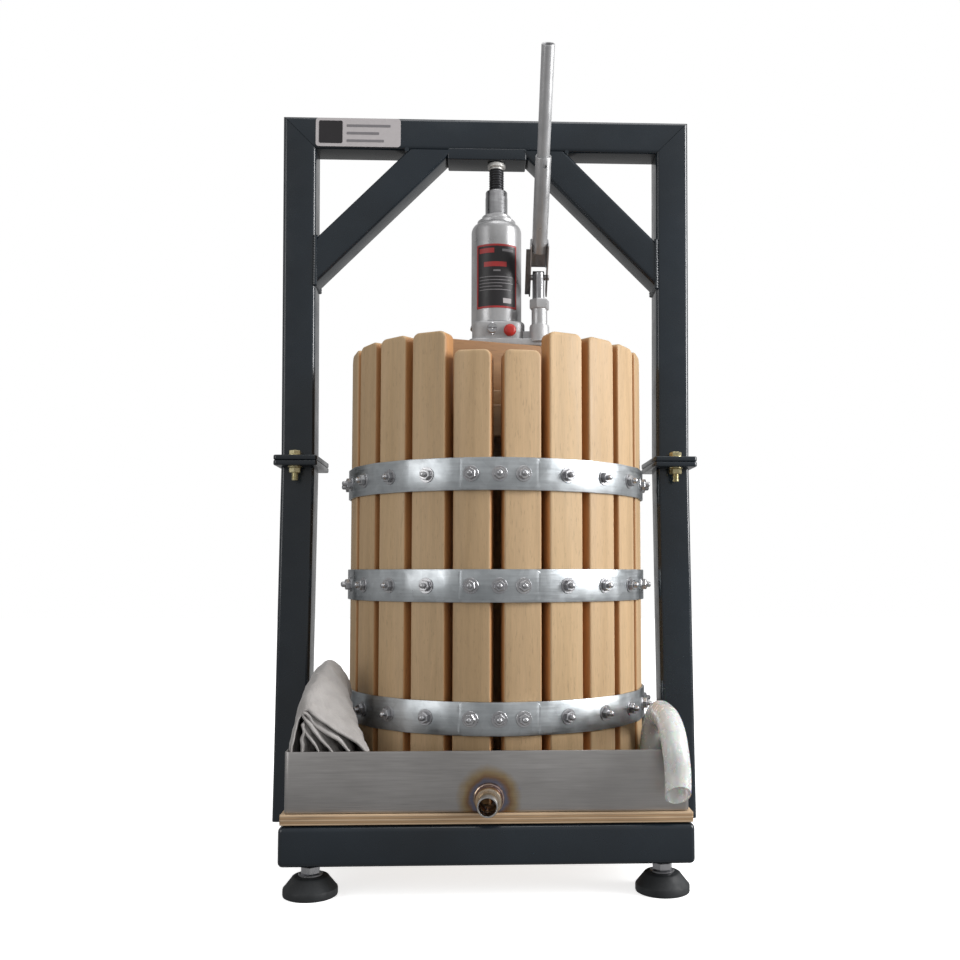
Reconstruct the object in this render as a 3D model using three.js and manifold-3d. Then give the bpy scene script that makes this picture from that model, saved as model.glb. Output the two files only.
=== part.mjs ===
// Basket wine press: steel frame, slatted basket, drip tray, press blocks and a bottle jack.
// Millimetres, +Z up, the front (spout side) faces -Y. The origin is on the floor,
// under the middle of the press.
import * as THREE from "three";
import { mergeVertices } from "three/addons/utils/BufferGeometryUtils.js";
import Module from "manifold-3d";

const wasm = await Module();
wasm.setup();

// ---------------------------------------------------------------- driving sizes
const GAP = 0.3; // clearance between pieces that touch or are welded together
const FRAME_Y = 14; // the frame's middle plane, so that the whole press is centred on the origin
const TUBE = 40; // square tube of the frame
const TUBE_WALL = 2;

const FOOT_HEIGHT = 34.5;
const FOOT_RADIUS = 28;
const FOOT_OFFSET = 181; // from the middle to each foot, in X and in Y
const STUD_RADIUS = 5;

const BASE_SIDE = 420; // outer side of the square base frame
const BOARD_SIDE = 417;
const BOARD_THICKNESS = 10;
const BOARD_GAP = 1.5; // the board is slightly proud of the base tubes
const TRAY_SIDE = 410;
const TRAY_HEIGHT = 61.7;
const SHEET = 2; // tray wall and floor

const FLANGE_Z = 461; // where the arch is bolted to the lower posts
const FLANGE_THICKNESS = 6;
const FLANGE_X = [200.5, 252];
const FLANGE_DEPTH = 100;
const BOLT_Y = 35; // flange bolts, before and behind each post
const BOLT_RADIUS = 4;
const ARCH_TOP = 891.5;
const HALF_WIDTH_TOP = 251.5; // outer faces of the posts at three heights
const HALF_WIDTH_FLANGE = 248.5;
const HALF_WIDTH_FLOOR = 253;
const BRACE_POST_Z = [680.5, 740.5]; // where a brace's two edges meet the post
const BEARING_HALF = 49; // bearing plate that the jack pushes against
const BEARING_THICKNESS = 11.5;

const AXIS_X = 12; // the basket and the jack stand slightly right of the middle
const AXIS_Y = -6;
const BASKET_APOTHEM = 174.5; // from the axis to the outer faces of the staves
const STAVE_COUNT = 22;
const STAVE_WIDTH = 41;
const STAVE_THICKNESS = 20;
const STAVE_LENGTH = 500;
const SHORT_STAVE_LENGTH = 478; // the two front staves are cut shorter
const STAVE_ROUND = 8;
// Staves were nailed up by eye, so those at the left and the back are a little
// further round than even spacing, in degrees.
const STAVE_DRIFT = {
  8: 0.5, 9: 1, 10: 1.5, 11: 2, 12: 2.2, 13: 1.8, 14: 1.3, 15: 0.8, 16: 0.3,
  17: -0.3, 18: -0.7, 19: -1, 20: -1.3, 21: -1.4, 22: -1.5,
};
const HOOP_HEIGHTS = { hoop_bottom: 176.5, hoop_middle: 314.5, hoop_top: 432.5 };
const HOOP_WIDTH = 35;
const HOOP_THICKNESS = 2.5;
const NUT_RADIUS = 6;
const NUT_HEIGHT = 7;

const DISC_RADIUS = 148;
const DISC_Z = 476.3;
const DISC_THICKNESS = 35;
const PRESS_BOARD = { width: 235, depth: 180, thickness: 26 };
const BLOCK = { width: 150, depth: 112, thickness: 62.3, turn: 18 };

const TANK_RADIUS = 31;
const RAM_RADIUS = 13.8;
const RAM_TOP = 804;
const RAM_LENGTH = 136.6;
const SCREW_RADIUS = 9.2;
const SCREW_INSIDE = 40;
const SADDLE_RADIUS = 11;
const SADDLE_HEIGHT = 6;
const PUMP_X = 63.5;
const PUMP_Y = -38;
const PISTON_RADIUS = 5.75;
const PIVOT_Y = -20; // the pump handle turns about a pin along X
const PIVOT_Z = 691.5;
const PIN_RADIUS = 3.5;
const HANDLE_LEAN = 42; // degrees forward of upright, at rest
const LOWER_TUBE = { radius: 9.2, bore: 7.6, from: 34, to: 150 };
const UPPER_TUBE = { radius: 7.3, bore: 5.6, from: 105, to: 270 };

const HOSE_RADIUS = 13;

// ---------------------------------------------------------------- worked-out levels
const baseZ = FOOT_HEIGHT;
const baseTop = baseZ + TUBE;
const boardZ = baseTop + BOARD_GAP;
const boardTop = boardZ + BOARD_THICKNESS;
const trayZ = boardTop + GAP;
const trayFloor = trayZ + SHEET;
const trayTop = trayZ + TRAY_HEIGHT;
const staveZ = trayFloor + GAP;
const beamZ = ARCH_TOP - TUBE;
const bearingZ = beamZ - BEARING_THICKNESS;
const pressBoardZ = DISC_Z + DISC_THICKNESS + GAP;
const blockZ = pressBoardZ + PRESS_BOARD.thickness + GAP;
const jackZ = blockZ + BLOCK.thickness + GAP;
const saddleTop = bearingZ - GAP;

const group = new THREE.Group();
group.name = "basket_wine_press";

// ---------------------------------------------------------------- materials
function material(color, roughness, metalness) {
  return new THREE.MeshStandardMaterial({ color, roughness, metalness });
}
const PAINT = () => material(0x1d2429, 0.35, 0.4);
const STAVE_WOOD = () => material(0xcfae80, 0.7, 0);
const PLY = () => material(0xc79a63, 0.8, 0);
const BEECH = () => material(0xc9a070, 0.75, 0);
const GALVANISED = () => material(0xa9afb2, 0.4, 0.9);
const STAINLESS = () => material(0x8a8a88, 0.35, 1);
const ZINC = () => material(0xb7b38c, 0.4, 0.9);
const RUBBER = () => material(0x151515, 0.85, 0);
const JACK_PAINT = () => material(0xb4b6b8, 0.4, 0.6);
const STEEL = () => material(0xb5b5b3, 0.3, 1);
const BLACK_STEEL = () => material(0x1b1b1c, 0.5, 0.8);
const RED_RUBBER = () => material(0xb3271f, 0.6, 0);
const CLEAR_HOSE = () => material(0xd9dcdb, 0.25, 0);
const CLOTH = () => material(0xb9b1ab, 0.95, 0);

// ---------------------------------------------------------------- helpers
function add(name, geometry, surface) {
  geometry.translate(0, FRAME_Y, 0);
  geometry.computeVertexNormals();
  const mesh = new THREE.Mesh(geometry, surface());
  mesh.name = name;
  group.add(mesh);
}

function toSolid(geometry) {
  const bare = geometry.clone();
  bare.deleteAttribute("normal");
  bare.deleteAttribute("uv");
  const merged = mergeVertices(bare, 1e-4);
  return new wasm.Manifold(new wasm.Mesh({
    numProp: 3,
    vertProperties: new Float32Array(merged.attributes.position.array),
    triVerts: new Uint32Array(merged.index.array),
  }));
}

function toGeometry(solid) {
  const mesh = solid.getMesh();
  const geometry = new THREE.BufferGeometry();
  geometry.setAttribute("position", new THREE.BufferAttribute(mesh.vertProperties, 3));
  geometry.setIndex(new THREE.BufferAttribute(mesh.triVerts, 1));
  return geometry.toNonIndexed();
}

function join(...geometries) {
  return toGeometry(wasm.Manifold.union(geometries.map(toSolid)));
}

function cut(geometry, ...tools) {
  return toGeometry(toSolid(geometry).subtract(wasm.Manifold.union(tools.map(toSolid))));
}

// A box from its two opposite corners.
function box(low, high) {
  const size = high.map((value, axis) => value - low[axis]);
  const geometry = new THREE.BoxGeometry(...size);
  geometry.translate(...low.map((value, axis) => value + size[axis] / 2));
  return geometry;
}

// A cylinder standing on (x, y, z).
function cylinder(radius, height, x, y, z, sides = 24) {
  const geometry = new THREE.CylinderGeometry(radius, radius, height, sides);
  geometry.rotateX(Math.PI / 2);
  geometry.translate(x, y, z + height / 2);
  return geometry;
}

// A solid of revolution about the vertical line through (x, y). The profile is [radius, z].
function turned(profile, x, y, sides = 24) {
  const points = profile.map(([radius, z]) => new THREE.Vector2(radius, z));
  const geometry = new THREE.LatheGeometry(points, sides);
  geometry.rotateX(Math.PI / 2);
  geometry.translate(x, y, 0);
  return geometry;
}

// An outline in the XZ plane, given depth along Y and centred on y.
function prismXZ(outline, depth, y) {
  const shape = new THREE.Shape(outline.map(([x, z]) => new THREE.Vector2(x, z)));
  const geometry = new THREE.ExtrudeGeometry(shape, { depth, bevelEnabled: false });
  geometry.rotateX(Math.PI / 2);
  geometry.translate(0, y + depth / 2, 0);
  return geometry;
}

// A rectangle with rounded corners in the XY plane, extruded up from z.
function roundedPlate(low, high, radius, z, height) {
  const shape = new THREE.Shape();
  const corners = [[high[0], high[1]], [low[0], high[1]], [low[0], low[1]], [high[0], low[1]]];
  corners.forEach(([x, y], index) => {
    const centreX = x + (x === high[0] ? -radius : radius);
    const centreY = y + (y === high[1] ? -radius : radius);
    const start = (index * Math.PI) / 2;
    shape.absarc(centreX, centreY, radius, start, start + Math.PI / 2, false);
  });
  const geometry = new THREE.ExtrudeGeometry(shape, { depth: height, bevelEnabled: false, curveSegments: 4 });
  geometry.translate(0, 0, z);
  return geometry;
}

function mirrorX(outline) {
  return outline.map(([x, z]) => [-x, z]).reverse();
}

// ---------------------------------------------------------------- feet
function addFoot(name, x, y) {
  const pad = [[0, 0], [FOOT_RADIUS, 0], [FOOT_RADIUS, 8], [18, 20], [0, 20]];
  const studTop = baseZ + TUBE - TUBE_WALL - 4;
  add(name, join(
    turned(pad, x, y, 20),
    cylinder(STUD_RADIUS, studTop - 15, x, y, 15, 12),
    cylinder(10.5, 8, x, y, 22, 6),
  ), RUBBER);
}
for (const [side, sign] of [["left", -1], ["right", 1]]) {
  addFoot(`foot_front_${side}`, sign * FOOT_OFFSET, -FOOT_OFFSET);
  addFoot(`foot_rear_${side}`, sign * FOOT_OFFSET, FOOT_OFFSET);
}

// ---------------------------------------------------------------- base frame
// A welded ring of square tube. The stud holes below open its hollow inside.
function squareRing(outer, width, z, height) {
  const inner = outer - width;
  return cut(
    box([-outer, -outer, z], [outer, outer, z + height]),
    box([-inner, -inner, z - 1], [inner, inner, z + height + 1]),
  );
}
const studHoles = [];
for (const x of [-FOOT_OFFSET, FOOT_OFFSET]) {
  for (const y of [-FOOT_OFFSET, FOOT_OFFSET]) {
    studHoles.push(cylinder(STUD_RADIUS + 1, 10, x, y, baseZ - 5, 16));
  }
}
const baseHalf = BASE_SIDE / 2;
add("base_frame", cut(
  squareRing(baseHalf, TUBE, baseZ, TUBE),
  squareRing(baseHalf - TUBE_WALL, TUBE - 2 * TUBE_WALL, baseZ + TUBE_WALL, TUBE - 2 * TUBE_WALL),
  ...studHoles,
), PAINT);

// ---------------------------------------------------------------- posts, crossbeam and braces
// The outer face of a post leans a little; this is its X at height z.
function postOuter(z) {
  if (z > FLANGE_Z) {
    const share = (z - FLANGE_Z) / (ARCH_TOP - FLANGE_Z);
    return HALF_WIDTH_FLANGE + share * (HALF_WIDTH_TOP - HALF_WIDTH_FLANGE);
  }
  const share = (FLANGE_Z - z) / (FLANGE_Z - baseZ);
  return HALF_WIDTH_FLANGE + share * (HALF_WIDTH_FLOOR - HALF_WIDTH_FLANGE);
}

// The inside of a tube, a little longer than the tube so that both its ends are open.
const bore = TUBE - 2 * TUBE_WALL;
function flangePlate(z) {
  const holes = [];
  for (const y of [-BOLT_Y, BOLT_Y]) {
    holes.push(cylinder(BOLT_RADIUS + 0.6, 20, postOuter(FLANGE_Z) - TUBE / 2, y, z - 5, 16));
  }
  const low = [FLANGE_X[0], -FLANGE_DEPTH / 2, z];
  const high = [FLANGE_X[1], FLANGE_DEPTH / 2, z + FLANGE_THICKNESS];
  return cut(box(low, high), ...holes);
}

const upperPlateZ = FLANGE_Z + GAP;
const lowerPlateZ = FLANGE_Z - FLANGE_THICKNESS;
const upperTubeZ = upperPlateZ + FLANGE_THICKNESS - 1;
const lowerTubeTop = lowerPlateZ + 1;
const mitre = 2 * GAP;
const upperPostOutline = [
  [postOuter(upperTubeZ), upperTubeZ],
  [postOuter(ARCH_TOP), ARCH_TOP - mitre],
  [postOuter(ARCH_TOP) - TUBE, beamZ - mitre],
  [postOuter(upperTubeZ) - TUBE, upperTubeZ],
];
const upperPostBore = [
  [postOuter(upperTubeZ) - TUBE_WALL, upperPlateZ + FLANGE_THICKNESS],
  [postOuter(ARCH_TOP) - TUBE_WALL, ARCH_TOP + TUBE],
  [postOuter(ARCH_TOP) - TUBE + TUBE_WALL, ARCH_TOP + TUBE],
  [postOuter(upperTubeZ) - TUBE + TUBE_WALL, upperPlateZ + FLANGE_THICKNESS],
];
const lowerPostOutline = [
  [postOuter(baseZ), baseZ],
  [postOuter(lowerTubeTop), lowerTubeTop],
  [postOuter(lowerTubeTop) - TUBE, lowerTubeTop],
  [postOuter(baseZ) - TUBE, baseZ],
];
const lowerPostBore = [
  [postOuter(baseZ) - TUBE_WALL, baseZ - TUBE_WALL],
  [postOuter(lowerTubeTop) - TUBE_WALL, lowerPlateZ],
  [postOuter(lowerTubeTop) - TUBE + TUBE_WALL, lowerPlateZ],
  [postOuter(baseZ) - TUBE + TUBE_WALL, baseZ - TUBE_WALL],
];

const rightUpperPost = cut(
  join(prismXZ(upperPostOutline, TUBE, 0), flangePlate(upperPlateZ)),
  prismXZ(upperPostBore, bore, 0),
);
const rightLowerPost = cut(
  join(prismXZ(lowerPostOutline, TUBE, 0), flangePlate(lowerPlateZ)),
  prismXZ(lowerPostBore, bore, 0),
);

const cornerOuter = postOuter(ARCH_TOP);
const crossbeamOutline = [
  [-cornerOuter + GAP, ARCH_TOP],
  [cornerOuter - GAP, ARCH_TOP],
  [cornerOuter - TUBE - GAP, beamZ],
  [BEARING_HALF, beamZ],
  [BEARING_HALF, bearingZ],
  [-BEARING_HALF, bearingZ],
  [-BEARING_HALF, beamZ],
  [-cornerOuter + TUBE + GAP, beamZ],
];
add("crossbeam", cut(
  prismXZ(crossbeamOutline, TUBE, 0),
  box([-cornerOuter - 1, -bore / 2, beamZ + TUBE_WALL], [cornerOuter + 1, bore / 2, ARCH_TOP - TUBE_WALL]),
), PAINT);

// A brace runs at 45 degrees from the post to the crossbeam and stops at the bearing plate.
const braceFoot = postOuter(700) - TUBE - GAP - 0.7;
const braceTop = beamZ - GAP;
const braceOutline = [
  [braceFoot, BRACE_POST_Z[0]],
  [braceFoot, BRACE_POST_Z[1]],
  [braceFoot - (braceTop - BRACE_POST_Z[1]), braceTop],
  [BEARING_HALF + GAP, braceTop],
  [BEARING_HALF + GAP, BRACE_POST_Z[0] + braceFoot - BEARING_HALF - GAP],
];
const wallAcross = TUBE_WALL * Math.SQRT2;
const braceBore = [
  [braceFoot + TUBE, BRACE_POST_Z[0] + wallAcross - TUBE],
  [braceFoot + TUBE, BRACE_POST_Z[1] - wallAcross - TUBE],
  [braceFoot - 2 * TUBE - 150, BRACE_POST_Z[1] - wallAcross + 2 * TUBE + 150],
  [braceFoot - 2 * TUBE - 150, BRACE_POST_Z[0] + wallAcross + 2 * TUBE + 150],
];
const rightBrace = cut(prismXZ(braceOutline, TUBE, 0), prismXZ(braceBore, bore, 0));

function mirrored(geometry) {
  const plane = toSolid(geometry).mirror([1, 0, 0]);
  return toGeometry(plane);
}
add("post_upper_left", mirrored(rightUpperPost), PAINT);
add("post_upper_right", rightUpperPost, PAINT);
add("post_lower_left", mirrored(rightLowerPost), PAINT);
add("post_lower_right", rightLowerPost, PAINT);
add("brace_left", mirrored(rightBrace), PAINT);
add("brace_right", rightBrace, PAINT);

// One bolt with its nut, hanging down through a pair of flange plates.
function addFlangeBolt(name, x, y) {
  const headZ = upperPlateZ + FLANGE_THICKNESS + GAP;
  const nutTop = lowerPlateZ - GAP;
  const tail = 16.5;
  add(name, join(
    cylinder(7.2, 5.5, x, y, headZ, 6),
    cylinder(BOLT_RADIUS, headZ - nutTop + tail + 1, x, y, nutTop - tail, 12),
    cylinder(7.2, 6.5, x, y, nutTop - 6.5, 6),
  ), ZINC);
}
const boltX = postOuter(FLANGE_Z) - TUBE / 2;
for (const [side, sign] of [["left", -1], ["right", 1]]) {
  addFlangeBolt(`flange_bolt_front_${side}`, sign * boltX, -BOLT_Y);
  addFlangeBolt(`flange_bolt_rear_${side}`, sign * boltX, BOLT_Y);
}

// ---------------------------------------------------------------- board, tray and spout
const boardHalf = BOARD_SIDE / 2;
add("base_board", box([-boardHalf, -boardHalf, boardZ], [boardHalf, boardHalf, boardTop]), PLY);

const SPOUT = { x: 1, z: 100.6, socket: 13.5, socketLength: 13, pipe: 10.5, bore: 8.75, length: 31 };
const trayHalf = TRAY_SIDE / 2;
function alongY(geometry, x, y, z) {
  geometry.rotateX(Math.PI / 2);
  geometry.translate(x, y, z);
  return geometry;
}
add("drip_tray", cut(
  box([-trayHalf, -trayHalf, trayZ], [trayHalf, trayHalf, trayTop]),
  box([-trayHalf + SHEET, -trayHalf + SHEET, trayFloor], [trayHalf - SHEET, trayHalf - SHEET, trayTop + 1]),
  alongY(cylinder(SPOUT.bore, 20, 0, 0, 0, 20), SPOUT.x, -trayHalf + 10, SPOUT.z),
), STAINLESS);

// The spout is turned along Z, then laid down to point forwards and slightly down and left.
const spoutProfile = [
  [SPOUT.bore, 0], [SPOUT.socket, 0], [SPOUT.socket, SPOUT.socketLength],
  [SPOUT.pipe, SPOUT.socketLength], [SPOUT.pipe, SPOUT.length], [SPOUT.bore, SPOUT.length], [SPOUT.bore, 0],
];
const spout = turned(spoutProfile, 0, 0, 24);
spout.rotateX(Math.PI / 2 + 0.06);
spout.rotateZ(-0.06);
spout.translate(SPOUT.x, -trayHalf - 1.3, SPOUT.z);
add("spout", spout, STAINLESS);

// ---------------------------------------------------------------- basket
// A stave is drawn as its front face, with rounded top corners, and given its thickness.
function stave(length) {
  const half = STAVE_WIDTH / 2;
  const shape = new THREE.Shape();
  shape.moveTo(-half, 0);
  shape.lineTo(half, 0);
  shape.absarc(half - STAVE_ROUND, length - STAVE_ROUND, STAVE_ROUND, 0, Math.PI / 2, false);
  shape.absarc(-half + STAVE_ROUND, length - STAVE_ROUND, STAVE_ROUND, Math.PI / 2, Math.PI, false);
  const options = { depth: STAVE_THICKNESS, bevelEnabled: false, curveSegments: 3 };
  const geometry = new THREE.ExtrudeGeometry(shape, options);
  geometry.rotateX(Math.PI / 2);
  geometry.translate(0, -BASKET_APOTHEM + STAVE_THICKNESS, staveZ);
  return geometry;
}
const staveStep = 360 / STAVE_COUNT;
function staveAngle(index) {
  return (index + 0.5) * staveStep + (STAVE_DRIFT[index + 1] ?? 0);
}
for (let index = 0; index < STAVE_COUNT; index += 1) {
  const isShort = index === 0 || index === STAVE_COUNT - 1;
  const geometry = stave(isShort ? SHORT_STAVE_LENGTH : STAVE_LENGTH);
  geometry.rotateZ(THREE.MathUtils.degToRad(staveAngle(index)));
  geometry.translate(AXIS_X, AXIS_Y, 0);
  add(`stave_${String(index + 1).padStart(2, "0")}`, geometry, STAVE_WOOD);
}

// A hoop is a flat band that bends at every stave's edge, with one nut per stave
// and a lapped joint at the front that carries one nut more.
const staveEdge = THREE.MathUtils.radToDeg(Math.atan(STAVE_WIDTH / 2 / BASKET_APOTHEM));
function bandCorners(offset) {
  const corners = [];
  const radius = (BASKET_APOTHEM + offset) / Math.cos(THREE.MathUtils.degToRad(staveEdge));
  for (let index = 0; index < STAVE_COUNT; index += 1) {
    for (const side of [-1, 1]) {
      const angle = THREE.MathUtils.degToRad(staveAngle(index) + side * staveEdge - 90);
      corners.push([radius * Math.cos(angle), radius * Math.sin(angle)]);
    }
  }
  return corners;
}
function outlinePrism(corners, z, height) {
  const shape = new THREE.Shape(corners.map(([x, y]) => new THREE.Vector2(x, y)));
  const geometry = new THREE.ExtrudeGeometry(shape, { depth: height, bevelEnabled: false });
  geometry.translate(0, 0, z);
  return geometry;
}
function nutAt(angle, radius, z) {
  const nut = cylinder(NUT_RADIUS, NUT_HEIGHT + 1, 0, 0, 0, 6);
  nut.rotateX(Math.PI / 2);
  nut.translate(0, -radius + 1, z);
  nut.rotateZ(THREE.MathUtils.degToRad(angle));
  return nut;
}
function hoop(z) {
  const low = z - HOOP_WIDTH / 2;
  const outer = GAP + HOOP_THICKNESS;
  const band = cut(
    outlinePrism(bandCorners(outer), low, HOOP_WIDTH),
    outlinePrism(bandCorners(GAP), low - 1, HOOP_WIDTH + 2),
  );
  const lapEdge = BASKET_APOTHEM + outer;
  const lapBox = box([-43, -lapEdge - 15, low], [43, -BASKET_APOTHEM + 15, low + HOOP_WIDTH]);
  const lapRing = cut(
    outlinePrism(bandCorners(outer + HOOP_THICKNESS), low, HOOP_WIDTH),
    outlinePrism(bandCorners(outer - 0.5), low - 1, HOOP_WIDTH + 2),
  );
  const lap = toGeometry(toSolid(lapRing).intersect(toSolid(lapBox)));
  const nuts = [nutAt(0, lapEdge + HOOP_THICKNESS - 1.5, z)];
  for (let index = 0; index < STAVE_COUNT; index += 1) {
    const isLapped = index === 0 || index === STAVE_COUNT - 1;
    nuts.push(nutAt(staveAngle(index), lapEdge + (isLapped ? HOOP_THICKNESS : 0), z));
  }
  const geometry = join(band, lap, ...nuts);
  geometry.translate(AXIS_X, AXIS_Y, 0);
  return geometry;
}
for (const [name, z] of Object.entries(HOOP_HEIGHTS)) {
  add(name, hoop(z), GALVANISED);
}

// ---------------------------------------------------------------- press blocks
add("press_disc", cylinder(DISC_RADIUS, DISC_THICKNESS, AXIS_X, AXIS_Y, DISC_Z, 40), BEECH);

function turnedBlock(size, z, degrees) {
  const low = [-size.width / 2, -size.depth / 2, z];
  const geometry = box(low, [size.width / 2, size.depth / 2, z + size.thickness]);
  geometry.rotateZ(THREE.MathUtils.degToRad(degrees));
  geometry.translate(AXIS_X, AXIS_Y, 0);
  return geometry;
}
add("press_board", turnedBlock(PRESS_BOARD, pressBoardZ, 0), BEECH);
add("press_block", turnedBlock(BLOCK, blockZ, BLOCK.turn), BEECH);

// ---------------------------------------------------------------- bottle jack
const plateTop = jackZ + 9;
const bodyTop = jackZ + 31.5;
const pumpNutZ = jackZ + 46;
const pumpTop = pumpNutZ + 12;
const pistonZ = pumpTop - 14;
const VALVE = { x: 6, z: jackZ + 20.5 };
const PLUG = { x: 27.7, z: jackZ + 19.5 };
const bodyFront = -42;

const castBody = join(
  roundedPlate([AXIS_X - 34, -46], [74, 34], 12, jackZ, 9.5),
  roundedPlate([AXIS_X - 30, bodyFront], [AXIS_X + 34, 28], 14, plateTop - 1, bodyTop - plateTop + 1),
  roundedPlate([40, -36], [68, -4], 6, plateTop - 1, 12),
  cylinder(12, jackZ + 27 - plateTop + 1, PUMP_X, PUMP_Y, plateTop - 1, 20),
  cylinder(9.5, pumpNutZ - plateTop, PUMP_X, PUMP_Y, plateTop, 20),
  cylinder(12.2, pumpTop - pumpNutZ, PUMP_X, PUMP_Y, pumpNutZ - 0.01, 6),
);
add("jack_base", cut(
  castBody,
  cylinder(PISTON_RADIUS + GAP, 60, PUMP_X, PUMP_Y, pistonZ - 15, 24),
  alongY(cylinder(4.6, 20, 0, 0, 0, 16), PLUG.x, bodyFront + 12, PLUG.z),
), JACK_PAINT);

const ramZ = RAM_TOP - RAM_LENGTH;
const retract = 28;
const tankZ = bodyTop + GAP;
const neckTop = jackZ + 171;
add("jack_tank", turned([
  [0, tankZ], [TANK_RADIUS, tankZ], [TANK_RADIUS, neckTop - 21], [TANK_RADIUS - 2, neckTop - 15.5],
  [26, neckTop - 12], [23.7, neckTop - 11.5], [23.7, neckTop - 6.5], [18.5, neckTop - 4.5],
  [18, neckTop], [RAM_RADIUS + GAP, neckTop],
  [RAM_RADIUS + GAP, ramZ - retract - 2], [0, ramZ - retract - 2],
], AXIS_X, AXIS_Y, 36), JACK_PAINT);

const screwZ = RAM_TOP - SCREW_INSIDE;
const screwTravel = 22;
add("jack_ram", turned([
  [0, ramZ], [RAM_RADIUS, ramZ], [RAM_RADIUS, RAM_TOP], [SCREW_RADIUS + GAP, RAM_TOP],
  [SCREW_RADIUS + GAP, screwZ - screwTravel - 2], [0, screwZ - screwTravel - 2],
], AXIS_X, AXIS_Y, 30), STEEL);

add("jack_screw", turned([
  [0, screwZ], [SCREW_RADIUS, screwZ], [SCREW_RADIUS, saddleTop - SADDLE_HEIGHT],
  [SADDLE_RADIUS, saddleTop - SADDLE_HEIGHT], [SADDLE_RADIUS, saddleTop], [0, saddleTop],
], AXIS_X, AXIS_Y, 24), BLACK_STEEL);

add("pump_piston", cylinder(PISTON_RADIUS, PIVOT_Z - pistonZ, PUMP_X, PUMP_Y, pistonZ, 20), STEEL);

// The link stands on the base behind the pump and holds the handle's pivot pin.
const LINK = { halfWidth: 7, front: -5, back: 7, top: 8 };
const linkZ = plateTop + 12 + GAP;
function alongX(radius, length, y, z, sides) {
  const geometry = cylinder(radius, length, 0, 0, -length / 2, sides);
  geometry.rotateY(Math.PI / 2);
  geometry.translate(PUMP_X, y, z);
  return geometry;
}
const pinLength = 26;
add("jack_link", join(
  box(
    [PUMP_X - LINK.halfWidth, PIVOT_Y + LINK.front, linkZ],
    [PUMP_X + LINK.halfWidth, PIVOT_Y + LINK.back, PIVOT_Z + LINK.top],
  ),
  alongX(PIN_RADIUS, pinLength, PIVOT_Y, PIVOT_Z, 16),
), BLACK_STEEL);

// Handle pieces are drawn upright over the pivot, then leaned forward about the pin.
function leaned(geometry) {
  geometry.rotateX(THREE.MathUtils.degToRad(HANDLE_LEAN));
  geometry.translate(PUMP_X - 0.3, PIVOT_Y, PIVOT_Z);
  return geometry;
}
const SOCKET = { half: 11, sheet: 1.4, low: -22, high: 46, front: -12, back: 11.5 };
const socketOuter = box([-SOCKET.half, SOCKET.front, SOCKET.low], [SOCKET.half, SOCKET.back, SOCKET.high]);
const socketInner = box(
  [-SOCKET.half + SOCKET.sheet, SOCKET.front - 1, SOCKET.low - 1],
  [SOCKET.half - SOCKET.sheet, SOCKET.back - SOCKET.sheet, SOCKET.high + 1],
);
const socketHeel = box(
  [-SOCKET.half - 1, 5, SOCKET.low - 1],
  [SOCKET.half + 1, SOCKET.back + 1, 9],
);
const pinHole = cylinder(PIN_RADIUS + 0.15, 40, 0, 0, -20, 24);
pinHole.rotateY(Math.PI / 2);
add("handle_socket", leaned(cut(socketOuter, socketInner, socketHeel, pinHole)), JACK_PAINT);

function handleTube(tube) {
  return leaned(turned([
    [tube.bore, tube.from], [tube.radius, tube.from], [tube.radius, tube.to],
    [tube.bore, tube.to], [tube.bore, tube.from],
  ], 0, 0, 20));
}
add("handle_lower", handleTube(LOWER_TUBE), JACK_PAINT);
add("handle_upper", handleTube(UPPER_TUBE), JACK_PAINT);

const valveSlot = box([-7, -12, VALVE.z - 1], [7, -7, VALVE.z + 1]);
valveSlot.translate(VALVE.x, bodyFront, 0);
const valveBody = alongY(cylinder(6, 8.5, 0, 0, 0, 20), VALVE.x, bodyFront - GAP, VALVE.z);
add("release_valve", cut(valveBody, valveSlot), STEEL);

add("filler_plug", join(
  alongY(cylinder(6.8, 5, 0, 0, 0, 20), PLUG.x, bodyFront - GAP, PLUG.z),
  alongY(cylinder(4.2, 10, 0, 0, 0, 16), PLUG.x, bodyFront + 7, PLUG.z),
), RED_RUBBER);

// ---------------------------------------------------------------- hose and press bag
// The hose stands in the tray's front right corner, comes up beside the basket,
// goes over the rim and hangs down in front of the tray.
const hoseRoute = [
  [186, -86, 103], [187, -87, 130], [188.5, -93, 152], [190, -106, 167], [189.5, -128, 175],
  [188, -155, 177], [188, -182, 175], [188, -206, 166], [188.5, -220.5, 149], [190, -224, 126],
  [188.5, -229, 98.5],
];
const hosePath = new THREE.CatmullRomCurve3(hoseRoute.map((point) => new THREE.Vector3(...point)));
const hoseSection = new THREE.Shape();
hoseSection.absarc(0, 0, HOSE_RADIUS, 0, 2 * Math.PI, false);
add("drain_hose", new THREE.ExtrudeGeometry(hoseSection, {
  steps: 40, curveSegments: 5, extrudePath: hosePath, bevelEnabled: false,
}), CLEAR_HOSE);

// The folded press bag stands in the tray's front left corner and leans on the basket.
const bagPoints = [
  [-200, -200, trayFloor + GAP], [-120, -200, trayFloor + GAP], [-150, -155, trayFloor + GAP],
  [-176, -108, trayFloor + GAP], [-200, -108, trayFloor + GAP],
  [-200, -200, 150], [-124, -200, 150], [-152, -157, 150], [-176, -110, 150], [-200, -110, 150],
  [-190, -175, 205], [-160, -175, 195], [-162, -150, 228], [-178, -140, 230], [-182, -112, 215],
];
const bag = wasm.Manifold.hull(bagPoints);
add("press_bag", toGeometry(bag), CLOTH);

export default group;
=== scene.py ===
"""Looks of the basket wine press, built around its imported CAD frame.

Shapes are drawn in millimetres in the row frame and turned into metres when a piece is made.
"""

import math

import bpy
from mathutils import Matrix, Vector, noise


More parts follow.
